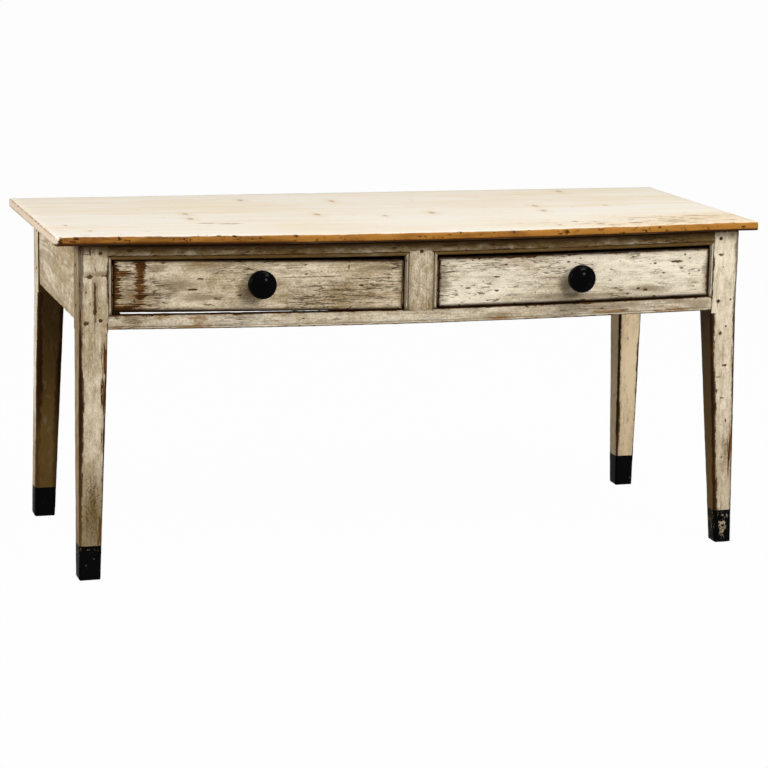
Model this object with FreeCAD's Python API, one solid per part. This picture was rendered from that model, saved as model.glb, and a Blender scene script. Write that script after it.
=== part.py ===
import FreeCAD, Part
import os

from FreeCAD import Vector

# A pine prep table with two drawers side by side in its front.
# Millimetres. +Z is up, +X runs to the right along the front, and the front faces -Y.
# The origin is on the floor, in the middle of the whole table, knobs included.

# The worktop
table_height = 775.0
top_length = 1656.0
top_depth = 666.0
top_thickness = 21.0
board_count = 4
tongue_length = 7.0
tongue_thickness = 6.0
tongue_end_gap = 0.5
top_corner_radius = 8.0
worn_corner_radius = 18.0
top_edge_radius = 3.0

# How far the worktop stands out past the legs
overhang_left = 56.0
overhang_right = 42.0
overhang_front = 14.0
overhang_rear = 14.0

# Legs: square above, tapered on the two inner faces below
leg_size = 64.0
foot_size = 42.0
leg_chamfer = 4.0
taper_drop = 8.0

# Two legs lean outwards with age, by this much at the floor
front_right_splay = 10.0
rear_left_splay = 5.0

# Aprons at the ends and the rear
apron_thickness = 22.0
apron_setback = 3.0
apron_lip = 2.0

# The drawer front frame: two rails, a muntin between the drawers, and beads round the openings
opening_height = 122.0
top_rail_height = 26.0
top_rail_depth = 46.0
bottom_rail_height = 33.0
bottom_rail_depth = 24.0
rail_setback = 1.0
muntin_width = 61.0
muntin_depth = 22.0
bead_thickness = 7.0
bead_depth = 14.0
bead_proud = 1.5
rail_bead_radius = 3.0
quirk_width = 2.0
quirk_depth = 2.0

# Mortise and tenon joints, and the pegs that hold them
tenon_wall = 30.0
mortise_end_gap = 1.0
apron_tenon_thickness = 9.0
apron_shoulder_top = 25.0
apron_shoulder_bottom = 12.0
top_rail_tenon_height = 13.0
top_rail_tenon_depth = 28.0
bottom_rail_tenon_thickness = 9.0
bottom_rail_shoulder = 5.0
muntin_tenon_length = 14.0
muntin_tenon_thickness = 8.0
muntin_tenon_face = 6.0
muntin_shoulder = 8.0
peg_diameter = 9.0
peg_fit = 0.05
peg_reach = 9.0
peg_proud = 0.6
apron_peg_edge = 22.0

# What carries, guides and stops the drawers
runner_width = 32.0
runner_height = 20.0
runner_tenon_length = 7.0
runner_tenon_height = 9.0
runner_shoulder = 6.0
guide_height = 34.0
guide_clearance = 1.0
stop_length = 20.0
stop_height = 18.0

# What holds the worktop down
screw_diameter = 5.0
screw_head_diameter = 9.5
screw_head_height = 3.0
screw_fit = 0.1
screw_recess = 6.0
screw_bite = 12.0
screw_end_distance = 14.0
glue_block_size = 26.0
glue_block_length = 70.0
glue_blocks_per_end = 3
glue_blocks_per_bay = 3

# Drawers
drawer_rear_gap = 51.0
drawer_headroom = 12.0
drawer_recess = 2.0
drawer_side_gap = 3.0
drawer_front_thickness = 22.0
drawer_side_thickness = 11.0
drawer_back_thickness = 11.0
drawer_back_drop = 8.0
drawer_bottom_thickness = 7.0
drawer_bottom_rise = 16.0
groove_depth = 5.0
groove_clearance = 0.3
dovetail_lap = 6.0
dovetail_slope = 1.0 / 6.0
front_tail_count = 3
back_tail_count = 2
pin_width = 9.0
nail_diameter = 2.6
nail_head_diameter = 6.0
nail_head_height = 1.2
nail_bite = 18.0
nail_fit = 0.05
nails_per_drawer = 4

# The front of each drawer hangs a little differently in its opening
left_front_gap_above = 6.5
left_front_gap_below = 9.5
right_front_gap_above = 7.0
right_front_gap_below = 6.5

# Turned knobs
knob_diameter = 63.0
knob_projection = 48.0
knob_crown_diameter = 48.0
knob_crown_rise = 7.0
knob_rim_length = 12.0
knob_collar_diameter = 40.0
knob_collar_height = 4.0
knob_neck_diameter = 30.0
knob_neck_height = 12.0
spigot_diameter = 20.0
spigot_fit = 0.1
wedge_thickness = 3.0
wedge_tip_thickness = 1.0
wedge_length = 15.0
wedge_width = 14.0

# Levels, worked down from the worktop
underside = table_height - top_thickness
top_rail_bottom = underside - top_rail_height
opening_top = top_rail_bottom - bead_thickness
opening_bottom = opening_top - opening_height
bottom_rail_bottom = opening_bottom - bottom_rail_height
runner_bottom = opening_bottom - runner_height
apron_bottom = runner_bottom - apron_lip
taper_top = min(bottom_rail_bottom, apron_bottom) - taper_drop
guide_top = opening_bottom + guide_height
drawer_side_top = opening_top - drawer_headroom

# Places from front to rear; the knobs reach past the worktop's front edge
knob_overreach = max(knob_projection - overhang_front - drawer_recess, 0.0)
top_front = (knob_overreach - top_depth) / 2.0
top_rear = top_front + top_depth
frame_front = top_front + overhang_front
frame_rear = top_rear - overhang_rear
front_leg_back = frame_front + leg_size
rear_leg_front = frame_rear - leg_size
rail_front = frame_front + rail_setback
top_rail_back = rail_front + top_rail_depth
bottom_rail_back = rail_front + bottom_rail_depth
rear_apron_back = frame_rear - apron_setback
rear_apron_front = rear_apron_back - apron_thickness
drawer_face = frame_front + drawer_recess
drawer_front_back = drawer_face + drawer_front_thickness
drawer_rear = rear_apron_front - drawer_rear_gap

# Places from left to right; the base is made on its left half and mirrored about its middle
top_left = -top_length / 2.0
top_right = top_length / 2.0
frame_left = top_left + overhang_left
frame_right = top_right - overhang_right
frame_middle = (frame_left + frame_right) / 2.0
leg_inner = frame_left + leg_size
muntin_left = frame_middle - muntin_width / 2.0
muntin_right = frame_middle + muntin_width / 2.0
opening_left = leg_inner + bead_thickness
opening_right = muntin_left - bead_thickness
drawer_left = opening_left + drawer_side_gap
drawer_right = opening_right - drawer_side_gap
runner_inner = leg_inner + runner_width
guide_thickness = bead_thickness + drawer_side_gap - guide_clearance
centre_runner_half = muntin_width / 2.0 + runner_width
centre_guide_half = muntin_width / 2.0 + guide_thickness
apron_outer = frame_left + apron_setback
apron_inner = apron_outer + apron_thickness

tenon_length = leg_size - tenon_wall
peg_inset = tenon_length / 2.0

LEFT = Vector(-1, 0, 0)
RIGHT = Vector(1, 0, 0)
FORWARD = Vector(0, -1, 0)
BACKWARD = Vector(0, 1, 0)
UP = Vector(0, 0, 1)


def box(x, y, z):
    """A block between two places along each axis."""
    size = [span[1] - span[0] for span in (x, y, z)]
    return Part.makeBox(*size, Vector(x[0], y[0], z[0]))


def prism(points, along):
    """A closed outline of points, carried along a vector."""
    outline = Part.makePolygon(points + [points[0]])
    return Part.Face(outline).extrude(along)


def rod(start, direction, diameter, length):
    return Part.makeCylinder(diameter / 2.0, length, start, direction)


def mirrored(shape):
    """The same shape on the other side of the base's middle."""
    return shape.mirror(Vector(frame_middle, 0, 0), RIGHT)


def both_sides(shapes):
    return shapes + [mirrored(shape) for shape in shapes]


def centred(middle, width):
    return (middle - width / 2.0, middle + width / 2.0)


# Tenons: each is one block, and its mortise is the same block with room at the end

def apron_tenon_z():
    return (apron_bottom + apron_shoulder_bottom, underside - apron_shoulder_top)


def end_apron_tenon(at_front, end_gap=0.0):
    x = centred((apron_outer + apron_inner) / 2.0, apron_tenon_thickness)
    reach = tenon_length + end_gap
    if at_front:
        y = (front_leg_back - reach, front_leg_back)
    else:
        y = (rear_leg_front, rear_leg_front + reach)
    return box(x, y, apron_tenon_z())


def rear_apron_tenon(end_gap=0.0):
    x = (leg_inner - tenon_length - end_gap, leg_inner)
    y = centred((rear_apron_front + rear_apron_back) / 2.0, apron_tenon_thickness)
    return box(x, y, apron_tenon_z())


def top_rail_tenon(end_gap=0.0):
    x = (leg_inner - tenon_length - end_gap, leg_inner)
    y = centred((rail_front + top_rail_back) / 2.0, top_rail_tenon_depth)
    z = centred((top_rail_bottom + underside) / 2.0, top_rail_tenon_height)
    return box(x, y, z)


def bottom_rail_tenon(end_gap=0.0):
    x = (leg_inner - tenon_length - end_gap, leg_inner)
    y = centred((rail_front + bottom_rail_back) / 2.0, bottom_rail_tenon_thickness)
    z = (bottom_rail_bottom + bottom_rail_shoulder, opening_bottom - bottom_rail_shoulder)
    return box(x, y, z)


def muntin_tenon(at_top, end_gap=0.0):
    x = (muntin_left + muntin_shoulder, muntin_right - muntin_shoulder)
    front = rail_front + muntin_tenon_face
    y = (front, front + muntin_tenon_thickness)
    reach = muntin_tenon_length + end_gap
    if at_top:
        z = (top_rail_bottom, top_rail_bottom + reach)
    else:
        z = (opening_bottom - reach, opening_bottom)
    return box(x, y, z)


def runner_tenons(x_spans, end_gap=0.0):
    """Stub tenons at both ends of a runner, into the bottom rail and the rear apron."""
    reach = runner_tenon_length + end_gap
    z = centred(opening_bottom - runner_height / 2.0, runner_tenon_height)
    tenons = []
    for x in x_spans:
        tenons.append(box(x, (bottom_rail_back - reach, bottom_rail_back), z))
        tenons.append(box(x, (rear_apron_front, rear_apron_front + reach), z))
    return tenons


def side_runner_spans():
    return [(leg_inner + runner_shoulder, runner_inner - runner_shoulder)]


def centre_runner_spans():
    outer = centre_runner_half - runner_shoulder
    inner = muntin_width / 2.0 + runner_shoulder
    return [(frame_middle - outer, frame_middle - inner), (frame_middle + inner, frame_middle + outer)]


def runner_mortises():
    side = runner_tenons(side_runner_spans(), mortise_end_gap)
    return both_sides(side) + runner_tenons(centre_runner_spans(), mortise_end_gap)


# Pegs: each is a rod from the face that it is driven through to a little past the tenon

def left_pegs(extra=0.0):
    """The pegs of the left half: front rails, end apron and rear apron. Extra widens them to holes."""
    diameter = peg_diameter + 2.0 * extra
    pegs = []
    peg_x = leg_inner - peg_inset
    front_ends = (
        (top_rail_tenon(), (top_rail_bottom + underside) / 2.0),
        (bottom_rail_tenon(), (bottom_rail_bottom + opening_bottom) / 2.0),
    )
    for tenon, level in front_ends:
        start = frame_front - peg_proud
        length = tenon.BoundBox.YMax + peg_reach - start
        pegs.append(rod(Vector(peg_x, start, level), BACKWARD, diameter, length))
    low, high = apron_tenon_z()
    for level in (low + apron_peg_edge, high - apron_peg_edge):
        start = frame_left - peg_proud
        length = end_apron_tenon(True).BoundBox.XMax + peg_reach - start
        for peg_y in (front_leg_back - peg_inset, rear_leg_front + peg_inset):
            pegs.append(rod(Vector(start, peg_y, level), RIGHT, diameter, length))
        start = frame_rear + peg_proud
        length = start - rear_apron_tenon().BoundBox.YMin + peg_reach
        pegs.append(rod(Vector(peg_x, start, level), FORWARD, diameter, length))
    return pegs


def muntin_peg(extra=0.0):
    start = rail_front - peg_proud
    length = muntin_tenon(True).BoundBox.YMax + peg_reach - start
    level = top_rail_bottom + muntin_tenon_length / 2.0
    return rod(Vector(frame_middle, start, level), BACKWARD, peg_diameter + 2.0 * extra, length)


def peg_holes():
    return both_sides(left_pegs(peg_fit)) + [muntin_peg(peg_fit)]


# Legs

def leg_outline(outer_y, depth_sign, size, cuts, z):
    """A square with its four corners cut, from the leg's outer corner inwards.

    The cuts are in order: the outer corner, then the corner along X, the inner one, and the one along Y.
    """
    x0 = frame_left
    x1 = frame_left + size
    y0 = outer_y
    y1 = outer_y + depth_sign * size
    outer, along_x, inner, along_y = cuts
    step = depth_sign
    corners = [
        (x0, y0 + step * outer), (x0 + outer, y0),
        (x1 - along_x, y0), (x1, y0 + step * along_x),
        (x1, y1 - step * inner), (x1 - inner, y1),
        (x0 + along_y, y1), (x0, y1 - step * along_y),
    ]
    points = [Vector(x, y, z) for x, y in corners]
    return [point for i, point in enumerate(points) if point.sub(points[i - 1]).Length > 0]


def tapered_block(lower, upper):
    """A solid between two outlines with the same number of points."""
    faces = [Part.Face(Part.makePolygon(outline + [outline[0]])) for outline in (lower, upper)]
    count = len(lower)
    for i in range(count):
        j = (i + 1) % count
        faces.append(Part.Face(Part.makePolygon([lower[i], lower[j], upper[j], upper[i], lower[i]])))
    solid = Part.Solid(Part.Shell(faces))
    if solid.Volume < 0:
        solid.reverse()
    return solid


def leg(outer_y, depth_sign, mortises, splay=0.0):
    all_cut = (leg_chamfer,) * 4
    outer_cut = (leg_chamfer, 0.0, 0.0, 0.0)
    foot = leg_outline(outer_y, depth_sign, foot_size, all_cut, 0.0)
    foot = [point + LEFT * splay for point in foot]
    knee = leg_outline(outer_y, depth_sign, leg_size, all_cut, taper_top)
    block = leg_outline(outer_y, depth_sign, leg_size, outer_cut, taper_top)
    upper = prism(block, UP * (underside - taper_top))
    whole = tapered_block(foot, knee).fuse(upper).removeSplitter()
    return whole.cut(mortises + left_pegs(peg_fit))


def legs():
    front_mortises = [
        end_apron_tenon(True, mortise_end_gap),
        top_rail_tenon(mortise_end_gap),
        bottom_rail_tenon(mortise_end_gap),
    ]
    rear_mortises = [end_apron_tenon(False, mortise_end_gap), rear_apron_tenon(mortise_end_gap)]
    return {
        "front_left_leg": leg(frame_front, 1.0, front_mortises),
        "front_right_leg": mirrored(leg(frame_front, 1.0, front_mortises, front_right_splay)),
        "rear_left_leg": leg(frame_rear, -1.0, rear_mortises, rear_left_splay),
        "rear_right_leg": mirrored(leg(frame_rear, -1.0, rear_mortises)),
    }


# Aprons, rails and muntin

def aprons():
    z = (apron_bottom, underside)
    end = box((apron_outer, apron_inner), (front_leg_back, rear_leg_front), z)
    end = end.fuse([end_apron_tenon(True), end_apron_tenon(False)]).removeSplitter()
    end = end.cut(left_pegs(peg_fit))
    rear = box((leg_inner, frame_right - leg_size), (rear_apron_front, rear_apron_back), z)
    rear = rear.fuse(both_sides([rear_apron_tenon()])).removeSplitter()
    rear = rear.cut(runner_mortises() + peg_holes())
    return {"left_end_apron": end, "right_end_apron": mirrored(end), "rear_apron": rear}


def bottom_rail_section(x):
    """The bottom rail's outline: a square back, and a bead with a quirk along the lower front edge."""
    r = rail_bead_radius
    z_bead = bottom_rail_bottom + 2.0 * r
    z_quirk = z_bead + quirk_width
    places = [
        (rail_front, z_bead), (rail_front + quirk_depth, z_bead), (rail_front + quirk_depth, z_quirk),
        (rail_front, z_quirk), (rail_front, opening_bottom), (bottom_rail_back, opening_bottom),
        (bottom_rail_back, bottom_rail_bottom), (rail_front + r, bottom_rail_bottom),
    ]
    points = [Vector(x, y, z) for y, z in places]
    edges = [Part.makeLine(a, b) for a, b in zip(points, points[1:])]
    half = r * 0.5 ** 0.5
    round_middle = Vector(x, rail_front + r - half, bottom_rail_bottom + r - half)
    round_end = Vector(x, rail_front, bottom_rail_bottom + r)
    edges.append(Part.Arc(points[-1], round_middle, round_end).toShape())
    edges.append(Part.makeLine(round_end, points[0]))
    return Part.Face(Part.Wire(edges))


def front_frame():
    rail_length = frame_right - leg_size - leg_inner
    top = box((leg_inner, leg_inner + rail_length), (rail_front, top_rail_back), (top_rail_bottom, underside))
    top = top.fuse(both_sides([top_rail_tenon()])).removeSplitter()
    top = top.cut([muntin_tenon(True, mortise_end_gap)] + peg_holes())
    bottom = bottom_rail_section(leg_inner).extrude(RIGHT * rail_length)
    bottom = bottom.fuse(both_sides([bottom_rail_tenon()])).removeSplitter()
    bottom = bottom.cut([muntin_tenon(False, mortise_end_gap)] + runner_mortises() + peg_holes())
    muntin_y = (rail_front, rail_front + muntin_depth)
    muntin = box((muntin_left, muntin_right), muntin_y, (opening_bottom, top_rail_bottom))
    muntin = muntin.fuse([muntin_tenon(True), muntin_tenon(False)]).removeSplitter()
    muntin = muntin.cut([muntin_peg(peg_fit)])
    return {"front_top_rail": top, "front_bottom_rail": bottom, "front_muntin": muntin}


def bead_section(corner, across):
    """A bead's outline: a strip of the bead's thickness with a half round front."""
    r = bead_thickness / 2.0
    front = corner + BACKWARD * r
    back = corner + BACKWARD * bead_depth
    far_front = front + across * bead_thickness
    far_back = back + across * bead_thickness
    edges = [
        Part.Arc(front, corner + across * r, far_front).toShape(),
        Part.makeLine(far_front, far_back),
        Part.makeLine(far_back, back),
        Part.makeLine(back, front),
    ]
    return Part.Face(Part.Wire(edges))


def beads():
    """The beads of each opening, mitred at its two upper corners."""
    y = frame_front - bead_proud
    t = bead_thickness
    x0, x1 = leg_inner, muntin_left
    z0, z1 = opening_bottom, top_rail_bottom

    def mitre(*corners):
        return prism([Vector(x, y, z) for x, z in corners], BACKWARD * bead_depth)

    outer_mitre = mitre((x0, z0), (x0 + t, z0), (x0 + t, z1 - t), (x0, z1))
    inner_mitre = mitre((x1, z0), (x1 - t, z0), (x1 - t, z1 - t), (x1, z1))
    top_mitre = mitre((x0, z1), (x1, z1), (x1 - t, z1 - t), (x0 + t, z1 - t))
    height = UP * (z1 - z0)
    outer = bead_section(Vector(x0, y, z0), RIGHT).extrude(height).common(outer_mitre)
    inner = bead_section(Vector(x1, y, z0), LEFT).extrude(height).common(inner_mitre)
    top = bead_section(Vector(x0, y, z1), -UP).extrude(RIGHT * (x1 - x0)).common(top_mitre)
    pieces = {}
    for name, bead in (("outer", outer), ("inner", inner), ("top", top)):
        pieces["left_%s_bead" % name] = bead
        pieces["right_%s_bead" % name] = mirrored(bead)
    return pieces


# Runners, guides, kickers and stops

def screw(x, y, extra=0.0):
    """A screw up through a kicker into the worktop. Extra widens it to its hole."""
    head = top_rail_bottom + screw_recess
    neck = head + screw_head_height
    shank = rod(Vector(x, y, neck), UP, screw_diameter + 2.0 * extra, underside + screw_bite - neck)
    return rod(Vector(x, y, head), UP, screw_head_diameter + 2.0 * extra, neck - head).fuse(shank)


def screw_places(x):
    """One screw in the middle of each board, or as near to it as the kicker's ends allow."""
    board = top_depth / board_count
    foremost = top_rail_back + screw_end_distance
    rearmost = rear_apron_front - screw_end_distance
    middles = [top_front + board * (i + 0.5) for i in range(board_count)]
    return [(x, min(max(y, foremost), rearmost)) for y in middles]


def all_screw_places():
    side_x = (leg_inner + runner_inner) / 2.0
    places = []
    for x in (side_x, frame_middle, 2.0 * frame_middle - side_x):
        places += screw_places(x)
    return places


def screw_holes():
    """A hole for each screw, opened out below its head so that the head lies in a recess."""
    recess_diameter = screw_head_diameter + 2.0 * screw_fit
    holes = []
    for x, y in all_screw_places():
        holes.append(screw(x, y, screw_fit))
        holes.append(rod(Vector(x, y, top_rail_bottom), UP, recess_diameter, screw_recess))
    return holes


def drawer_carriage():
    length = (bottom_rail_back, rear_apron_front)
    kicker_length = (top_rail_back, rear_apron_front)
    centre = centred(frame_middle, 2.0 * centre_runner_half)
    runner_z = (runner_bottom, opening_bottom)
    kicker_z = (top_rail_bottom, underside)
    runner = box((leg_inner, runner_inner), length, runner_z)
    runner = runner.fuse(runner_tenons(side_runner_spans())).removeSplitter()
    centre_runner = box(centre, length, runner_z).fuse(runner_tenons(centre_runner_spans())).removeSplitter()
    guide = box((leg_inner, leg_inner + guide_thickness), length, (opening_bottom, guide_top))
    centre_guide = box(centred(frame_middle, 2.0 * centre_guide_half), length, (opening_bottom, guide_top))
    kicker = box((leg_inner, runner_inner), kicker_length, kicker_z)
    stop_y = (drawer_rear, drawer_rear + stop_length)
    stop_z = (opening_bottom, opening_bottom + stop_height)
    outer_stop = box((drawer_left, runner_inner), stop_y, stop_z)
    inner_stop = box((frame_middle - centre_runner_half, drawer_right), stop_y, stop_z)
    return {
        "left_runner": runner,
        "centre_runner": centre_runner,
        "right_runner": mirrored(runner),
        "left_guide": guide,
        "centre_guide": centre_guide,
        "right_guide": mirrored(guide),
        "left_kicker": kicker.cut(screw_holes()),
        "centre_kicker": box(centre, kicker_length, kicker_z).cut(screw_holes()),
        "right_kicker": mirrored(kicker).cut(screw_holes()),
        "drawer_stops": Part.makeCompound(both_sides([outer_stop, inner_stop])),
    }


def spread(low, high, length, count):
    """The starts of evenly spaced blocks of one length between two places."""
    room = (high - low - count * length) / (count + 1)
    return [low + room + i * (length + room) for i in range(count)]


def glue_blocks():
    """Three-cornered blocks in the angle between the worktop and the end and rear aprons."""
    down = -UP * glue_block_size
    end_angle = Vector(apron_inner, 0, underside)
    rear_angle = Vector(0, rear_apron_front, underside)
    end_outline = [end_angle, end_angle + RIGHT * glue_block_size, end_angle + down]
    rear_outline = [rear_angle, rear_angle + FORWARD * glue_block_size, rear_angle + down]
    blocks = []
    for y in spread(front_leg_back, rear_leg_front, glue_block_length, glue_blocks_per_end):
        blocks.append(prism([point + BACKWARD * y for point in end_outline], BACKWARD * glue_block_length))
    for x in spread(runner_inner, frame_middle - centre_runner_half, glue_block_length, glue_blocks_per_bay):
        blocks.append(prism([point + RIGHT * x for point in rear_outline], RIGHT * glue_block_length))
    return Part.makeCompound(both_sides(blocks))


# The worktop

def top_slab():
    """The whole worktop before it is split into boards: round corners in plan, and eased edges."""
    z = (underside, table_height)
    slab = box((top_left, top_right), (top_front, top_rear), z)
    corners = (
        (top_left, 1.0, top_front, 1.0, worn_corner_radius),
        (top_right, -1.0, top_front, 1.0, top_corner_radius),
        (top_left, 1.0, top_rear, -1.0, top_corner_radius),
        (top_right, -1.0, top_rear, -1.0, top_corner_radius),
    )
    for x, inwards_x, y, inwards_y, radius in corners:
        centre_x = x + inwards_x * radius
        centre_y = y + inwards_y * radius
        square = box(sorted((x, centre_x)), sorted((y, centre_y)), z)
        round_post = rod(Vector(centre_x, centre_y, underside), UP, 2.0 * radius, top_thickness)
        slab = slab.cut(square.cut(round_post))
    rims = [edge for edge in slab.Edges if edge.BoundBox.ZLength < top_edge_radius]
    return slab.makeFillet(min(top_edge_radius, top_thickness / 3.0), rims)


def top_boards():
    slab = top_slab()
    whole = (top_left, top_right)
    width = top_depth / board_count
    middle = (underside + table_height) / 2.0
    boards = {}
    for i in range(board_count):
        front = top_front + width * i
        rear = front + width
        board = slab.common(box(whole, (front, rear), (underside, table_height)))
        if i < board_count - 1:
            tongue = box(whole, (rear, rear + tongue_length), centred(middle, tongue_thickness))
            board = board.fuse(slab.common(tongue)).removeSplitter()
        if i > 0:
            groove_end = front + tongue_length + tongue_end_gap
            board = board.cut(box(whole, (front, groove_end), centred(middle, tongue_thickness)))
        boards["top_board_%d" % (i + 1)] = board.cut(screw_holes())
    return boards


# Drawers

def tails(x, y_root, y_tip, z, count):
    """Dovetails on a drawer side: each widens from its root to its tip."""
    pitch = (z[1] - z[0]) / count
    root = (pitch - pin_width) / 2.0
    tip = root + abs(y_tip - y_root) * dovetail_slope
    pieces = []
    for i in range(count):
        level = z[0] + pitch * (i + 0.5)
        outline = [(y_root, level - root), (y_tip, level - tip), (y_tip, level + tip), (y_root, level + root)]
        pieces.append(prism([Vector(x[0], y, height) for y, height in outline], RIGHT * (x[1] - x[0])))
    return pieces


def knob(x, z):
    """A turned knob with a collar, a waist and a domed head, on a spigot through the drawer front."""
    def place(radius, height):
        return Vector(x + radius, drawer_face - height, z)

    def bulge(start, end, lean):
        """A round from one radius and height to another, full at its outside."""
        full = 0.5 ** 0.5
        radius_share, height_share = (full, 1.0 - full) if lean == "outwards" else (1.0 - full, full)
        radius = start[0] + (end[0] - start[0]) * radius_share
        height = start[1] + (end[1] - start[1]) * height_share
        return Part.Arc(place(*start), place(radius, height), place(*end)).toShape()

    spigot = spigot_diameter / 2.0
    collar = knob_collar_diameter / 2.0
    neck = (knob_neck_diameter / 2.0, knob_neck_height)
    crown = (knob_crown_diameter / 2.0, knob_projection - knob_crown_rise)
    rim = (knob_diameter / 2.0, crown[1] - knob_rim_length)
    dome_radius = (crown[0] ** 2 + knob_crown_rise ** 2) / (2.0 * knob_crown_rise)
    half_way = crown[0] / 2.0
    dome_height = knob_projection - dome_radius + (dome_radius ** 2 - half_way ** 2) ** 0.5
    tip = place(0.0, knob_projection)
    corners = [
        place(0.0, -drawer_front_thickness), place(spigot, -drawer_front_thickness), place(spigot, 0.0),
        place(collar, 0.0), place(collar, knob_collar_height), place(*neck),
    ]
    outline = [Part.makeLine(a, b) for a, b in zip(corners, corners[1:])]
    outline.append(bulge(neck, rim, "outwards"))
    outline.append(bulge(rim, crown, "forwards"))
    outline.append(Part.Arc(place(*crown), place(half_way, dome_height), tip).toShape())
    outline.append(Part.makeLine(tip, corners[0]))
    return Part.Face(Part.Wire(outline)).revolve(Vector(x, 0, z), BACKWARD, 360)


def knob_wedge(x, z):
    mouth = wedge_thickness / 2.0
    tip = wedge_tip_thickness / 2.0
    outer = drawer_front_back
    inner = drawer_front_back - wedge_length
    outline = [(x - mouth, outer), (x + mouth, outer), (x + tip, inner), (x - tip, inner)]
    points = [Vector(px, py, z - wedge_width / 2.0) for px, py in outline]
    return prism(points, UP * wedge_width)


def nail(x, y, z, extra=0.0):
    """A nail up through the drawer bottom into the back."""
    head = rod(Vector(x, y, z), UP, nail_head_diameter + 2.0 * extra, nail_head_height)
    length = drawer_bottom_thickness + nail_bite
    return head.fuse(rod(Vector(x, y, z), UP, nail_diameter + 2.0 * extra, length))


def drawer(name, x, gap_above, gap_below):
    """All the pieces of one drawer between two places along X."""
    left, right = x
    middle = (left + right) / 2.0
    front_z = (opening_bottom + gap_below, opening_top - gap_above)
    side_z = (opening_bottom, drawer_side_top)
    bottom_level = opening_bottom + drawer_bottom_rise
    bottom_z = (bottom_level, bottom_level + drawer_bottom_thickness)
    back_z = (bottom_z[1], side_z[1] - drawer_back_drop)
    back_y = (drawer_rear - drawer_back_thickness, drawer_rear)
    knob_z = (front_z[0] + front_z[1]) / 2.0
    left_x = (left, left + drawer_side_thickness)
    right_x = (right - drawer_side_thickness, right)

    slot_x = (left_x[1] - groove_depth, right_x[0] + groove_depth)
    slot_z = (bottom_z[0], bottom_z[1] + groove_clearance)
    slot = box(slot_x, (drawer_front_back - groove_depth, drawer_rear), slot_z)
    panel_x = (slot_x[0] + groove_clearance, slot_x[1] - groove_clearance)
    panel_front = drawer_front_back - groove_depth + groove_clearance
    seam = (panel_front + drawer_rear) / 2.0

    tail_z = (max(front_z[0], side_z[0]), min(front_z[1], side_z[1]))
    tail_tip = drawer_face + dovetail_lap
    pieces = {}
    front_tails = []
    back_tails = []
    for side, side_x in (("left", left_x), ("right", right_x)):
        ahead = tails(side_x, drawer_front_back, tail_tip, tail_z, front_tail_count)
        behind = tails(side_x, back_y[0], back_y[1], back_z, back_tail_count)
        board = box(side_x, (drawer_front_back, drawer_rear), side_z)
        board = board.cut(box(side_x, back_y, back_z)).fuse(ahead + behind).removeSplitter()
        pieces["%s_%s_side" % (name, side)] = board.cut(slot)
        front_tails += ahead
        back_tails += behind

    nail_room = (right_x[0] - left_x[1]) / nails_per_drawer
    nail_rows = [left_x[1] + nail_room * (i + 0.5) for i in range(nails_per_drawer)]
    nail_y = (back_y[0] + back_y[1]) / 2.0
    nail_holes = [nail(place, nail_y, bottom_z[0], nail_fit) for place in nail_rows]

    front = box(x, (drawer_face, drawer_front_back), front_z)
    hole_diameter = spigot_diameter + 2.0 * spigot_fit
    hole = rod(Vector(middle, drawer_face, knob_z), BACKWARD, hole_diameter, drawer_front_thickness)
    wedge = knob_wedge(middle, knob_z)
    pieces["%s_front" % name] = front.cut(front_tails + [slot, hole])
    pieces["%s_back" % name] = box(x, back_y, back_z).cut(back_tails + nail_holes)
    pieces["%s_bottom_front" % name] = box(panel_x, (panel_front, seam), bottom_z)
    pieces["%s_bottom_rear" % name] = box(panel_x, (seam, drawer_rear), bottom_z).cut(nail_holes)
    pieces["%s_knob" % name] = knob(middle, knob_z).cut(wedge)
    pieces["%s_knob_wedge" % name] = wedge
    pieces["%s_nails" % name] = Part.makeCompound([nail(place, nail_y, bottom_z[0]) for place in nail_rows])
    return pieces


def right_drawer_span():
    return (2.0 * frame_middle - drawer_right, 2.0 * frame_middle - drawer_left)


def table():
    nodes = {}
    nodes.update(top_boards())
    nodes.update(legs())
    nodes.update(aprons())
    nodes.update(front_frame())
    nodes.update(beads())
    nodes.update(drawer_carriage())
    nodes["frame_pegs"] = Part.makeCompound(both_sides(left_pegs()) + [muntin_peg()])
    nodes["glue_blocks"] = glue_blocks()
    nodes["top_screws"] = Part.makeCompound([screw(x, y) for x, y in all_screw_places()])
    left_span = (drawer_left, drawer_right)
    nodes.update(drawer("left_drawer", left_span, left_front_gap_above, left_front_gap_below))
    nodes.update(drawer("right_drawer", right_drawer_span(), right_front_gap_above, right_front_gap_below))
    return nodes


os.makedirs("parts", exist_ok=True)
for node, shape in table().items():
    shape.exportStep("parts/%s.step" % node)
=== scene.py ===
"""The looks of an old pine prep table: a scrubbed top, a painted base, two drawers and turned knobs.

Laid out as an add-on. Sizes and colours are properties, each group of like pieces has an operator,
and main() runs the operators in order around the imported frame.
"""

import math
from dataclasses import dataclass

import bmesh
import bpy
import numpy as np
from bpy.props import FloatProperty, FloatVectorProperty, PointerProperty
from bpy.types import Operator, Panel, PropertyGroup
from mathutils import Color, Matrix, Vector


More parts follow.
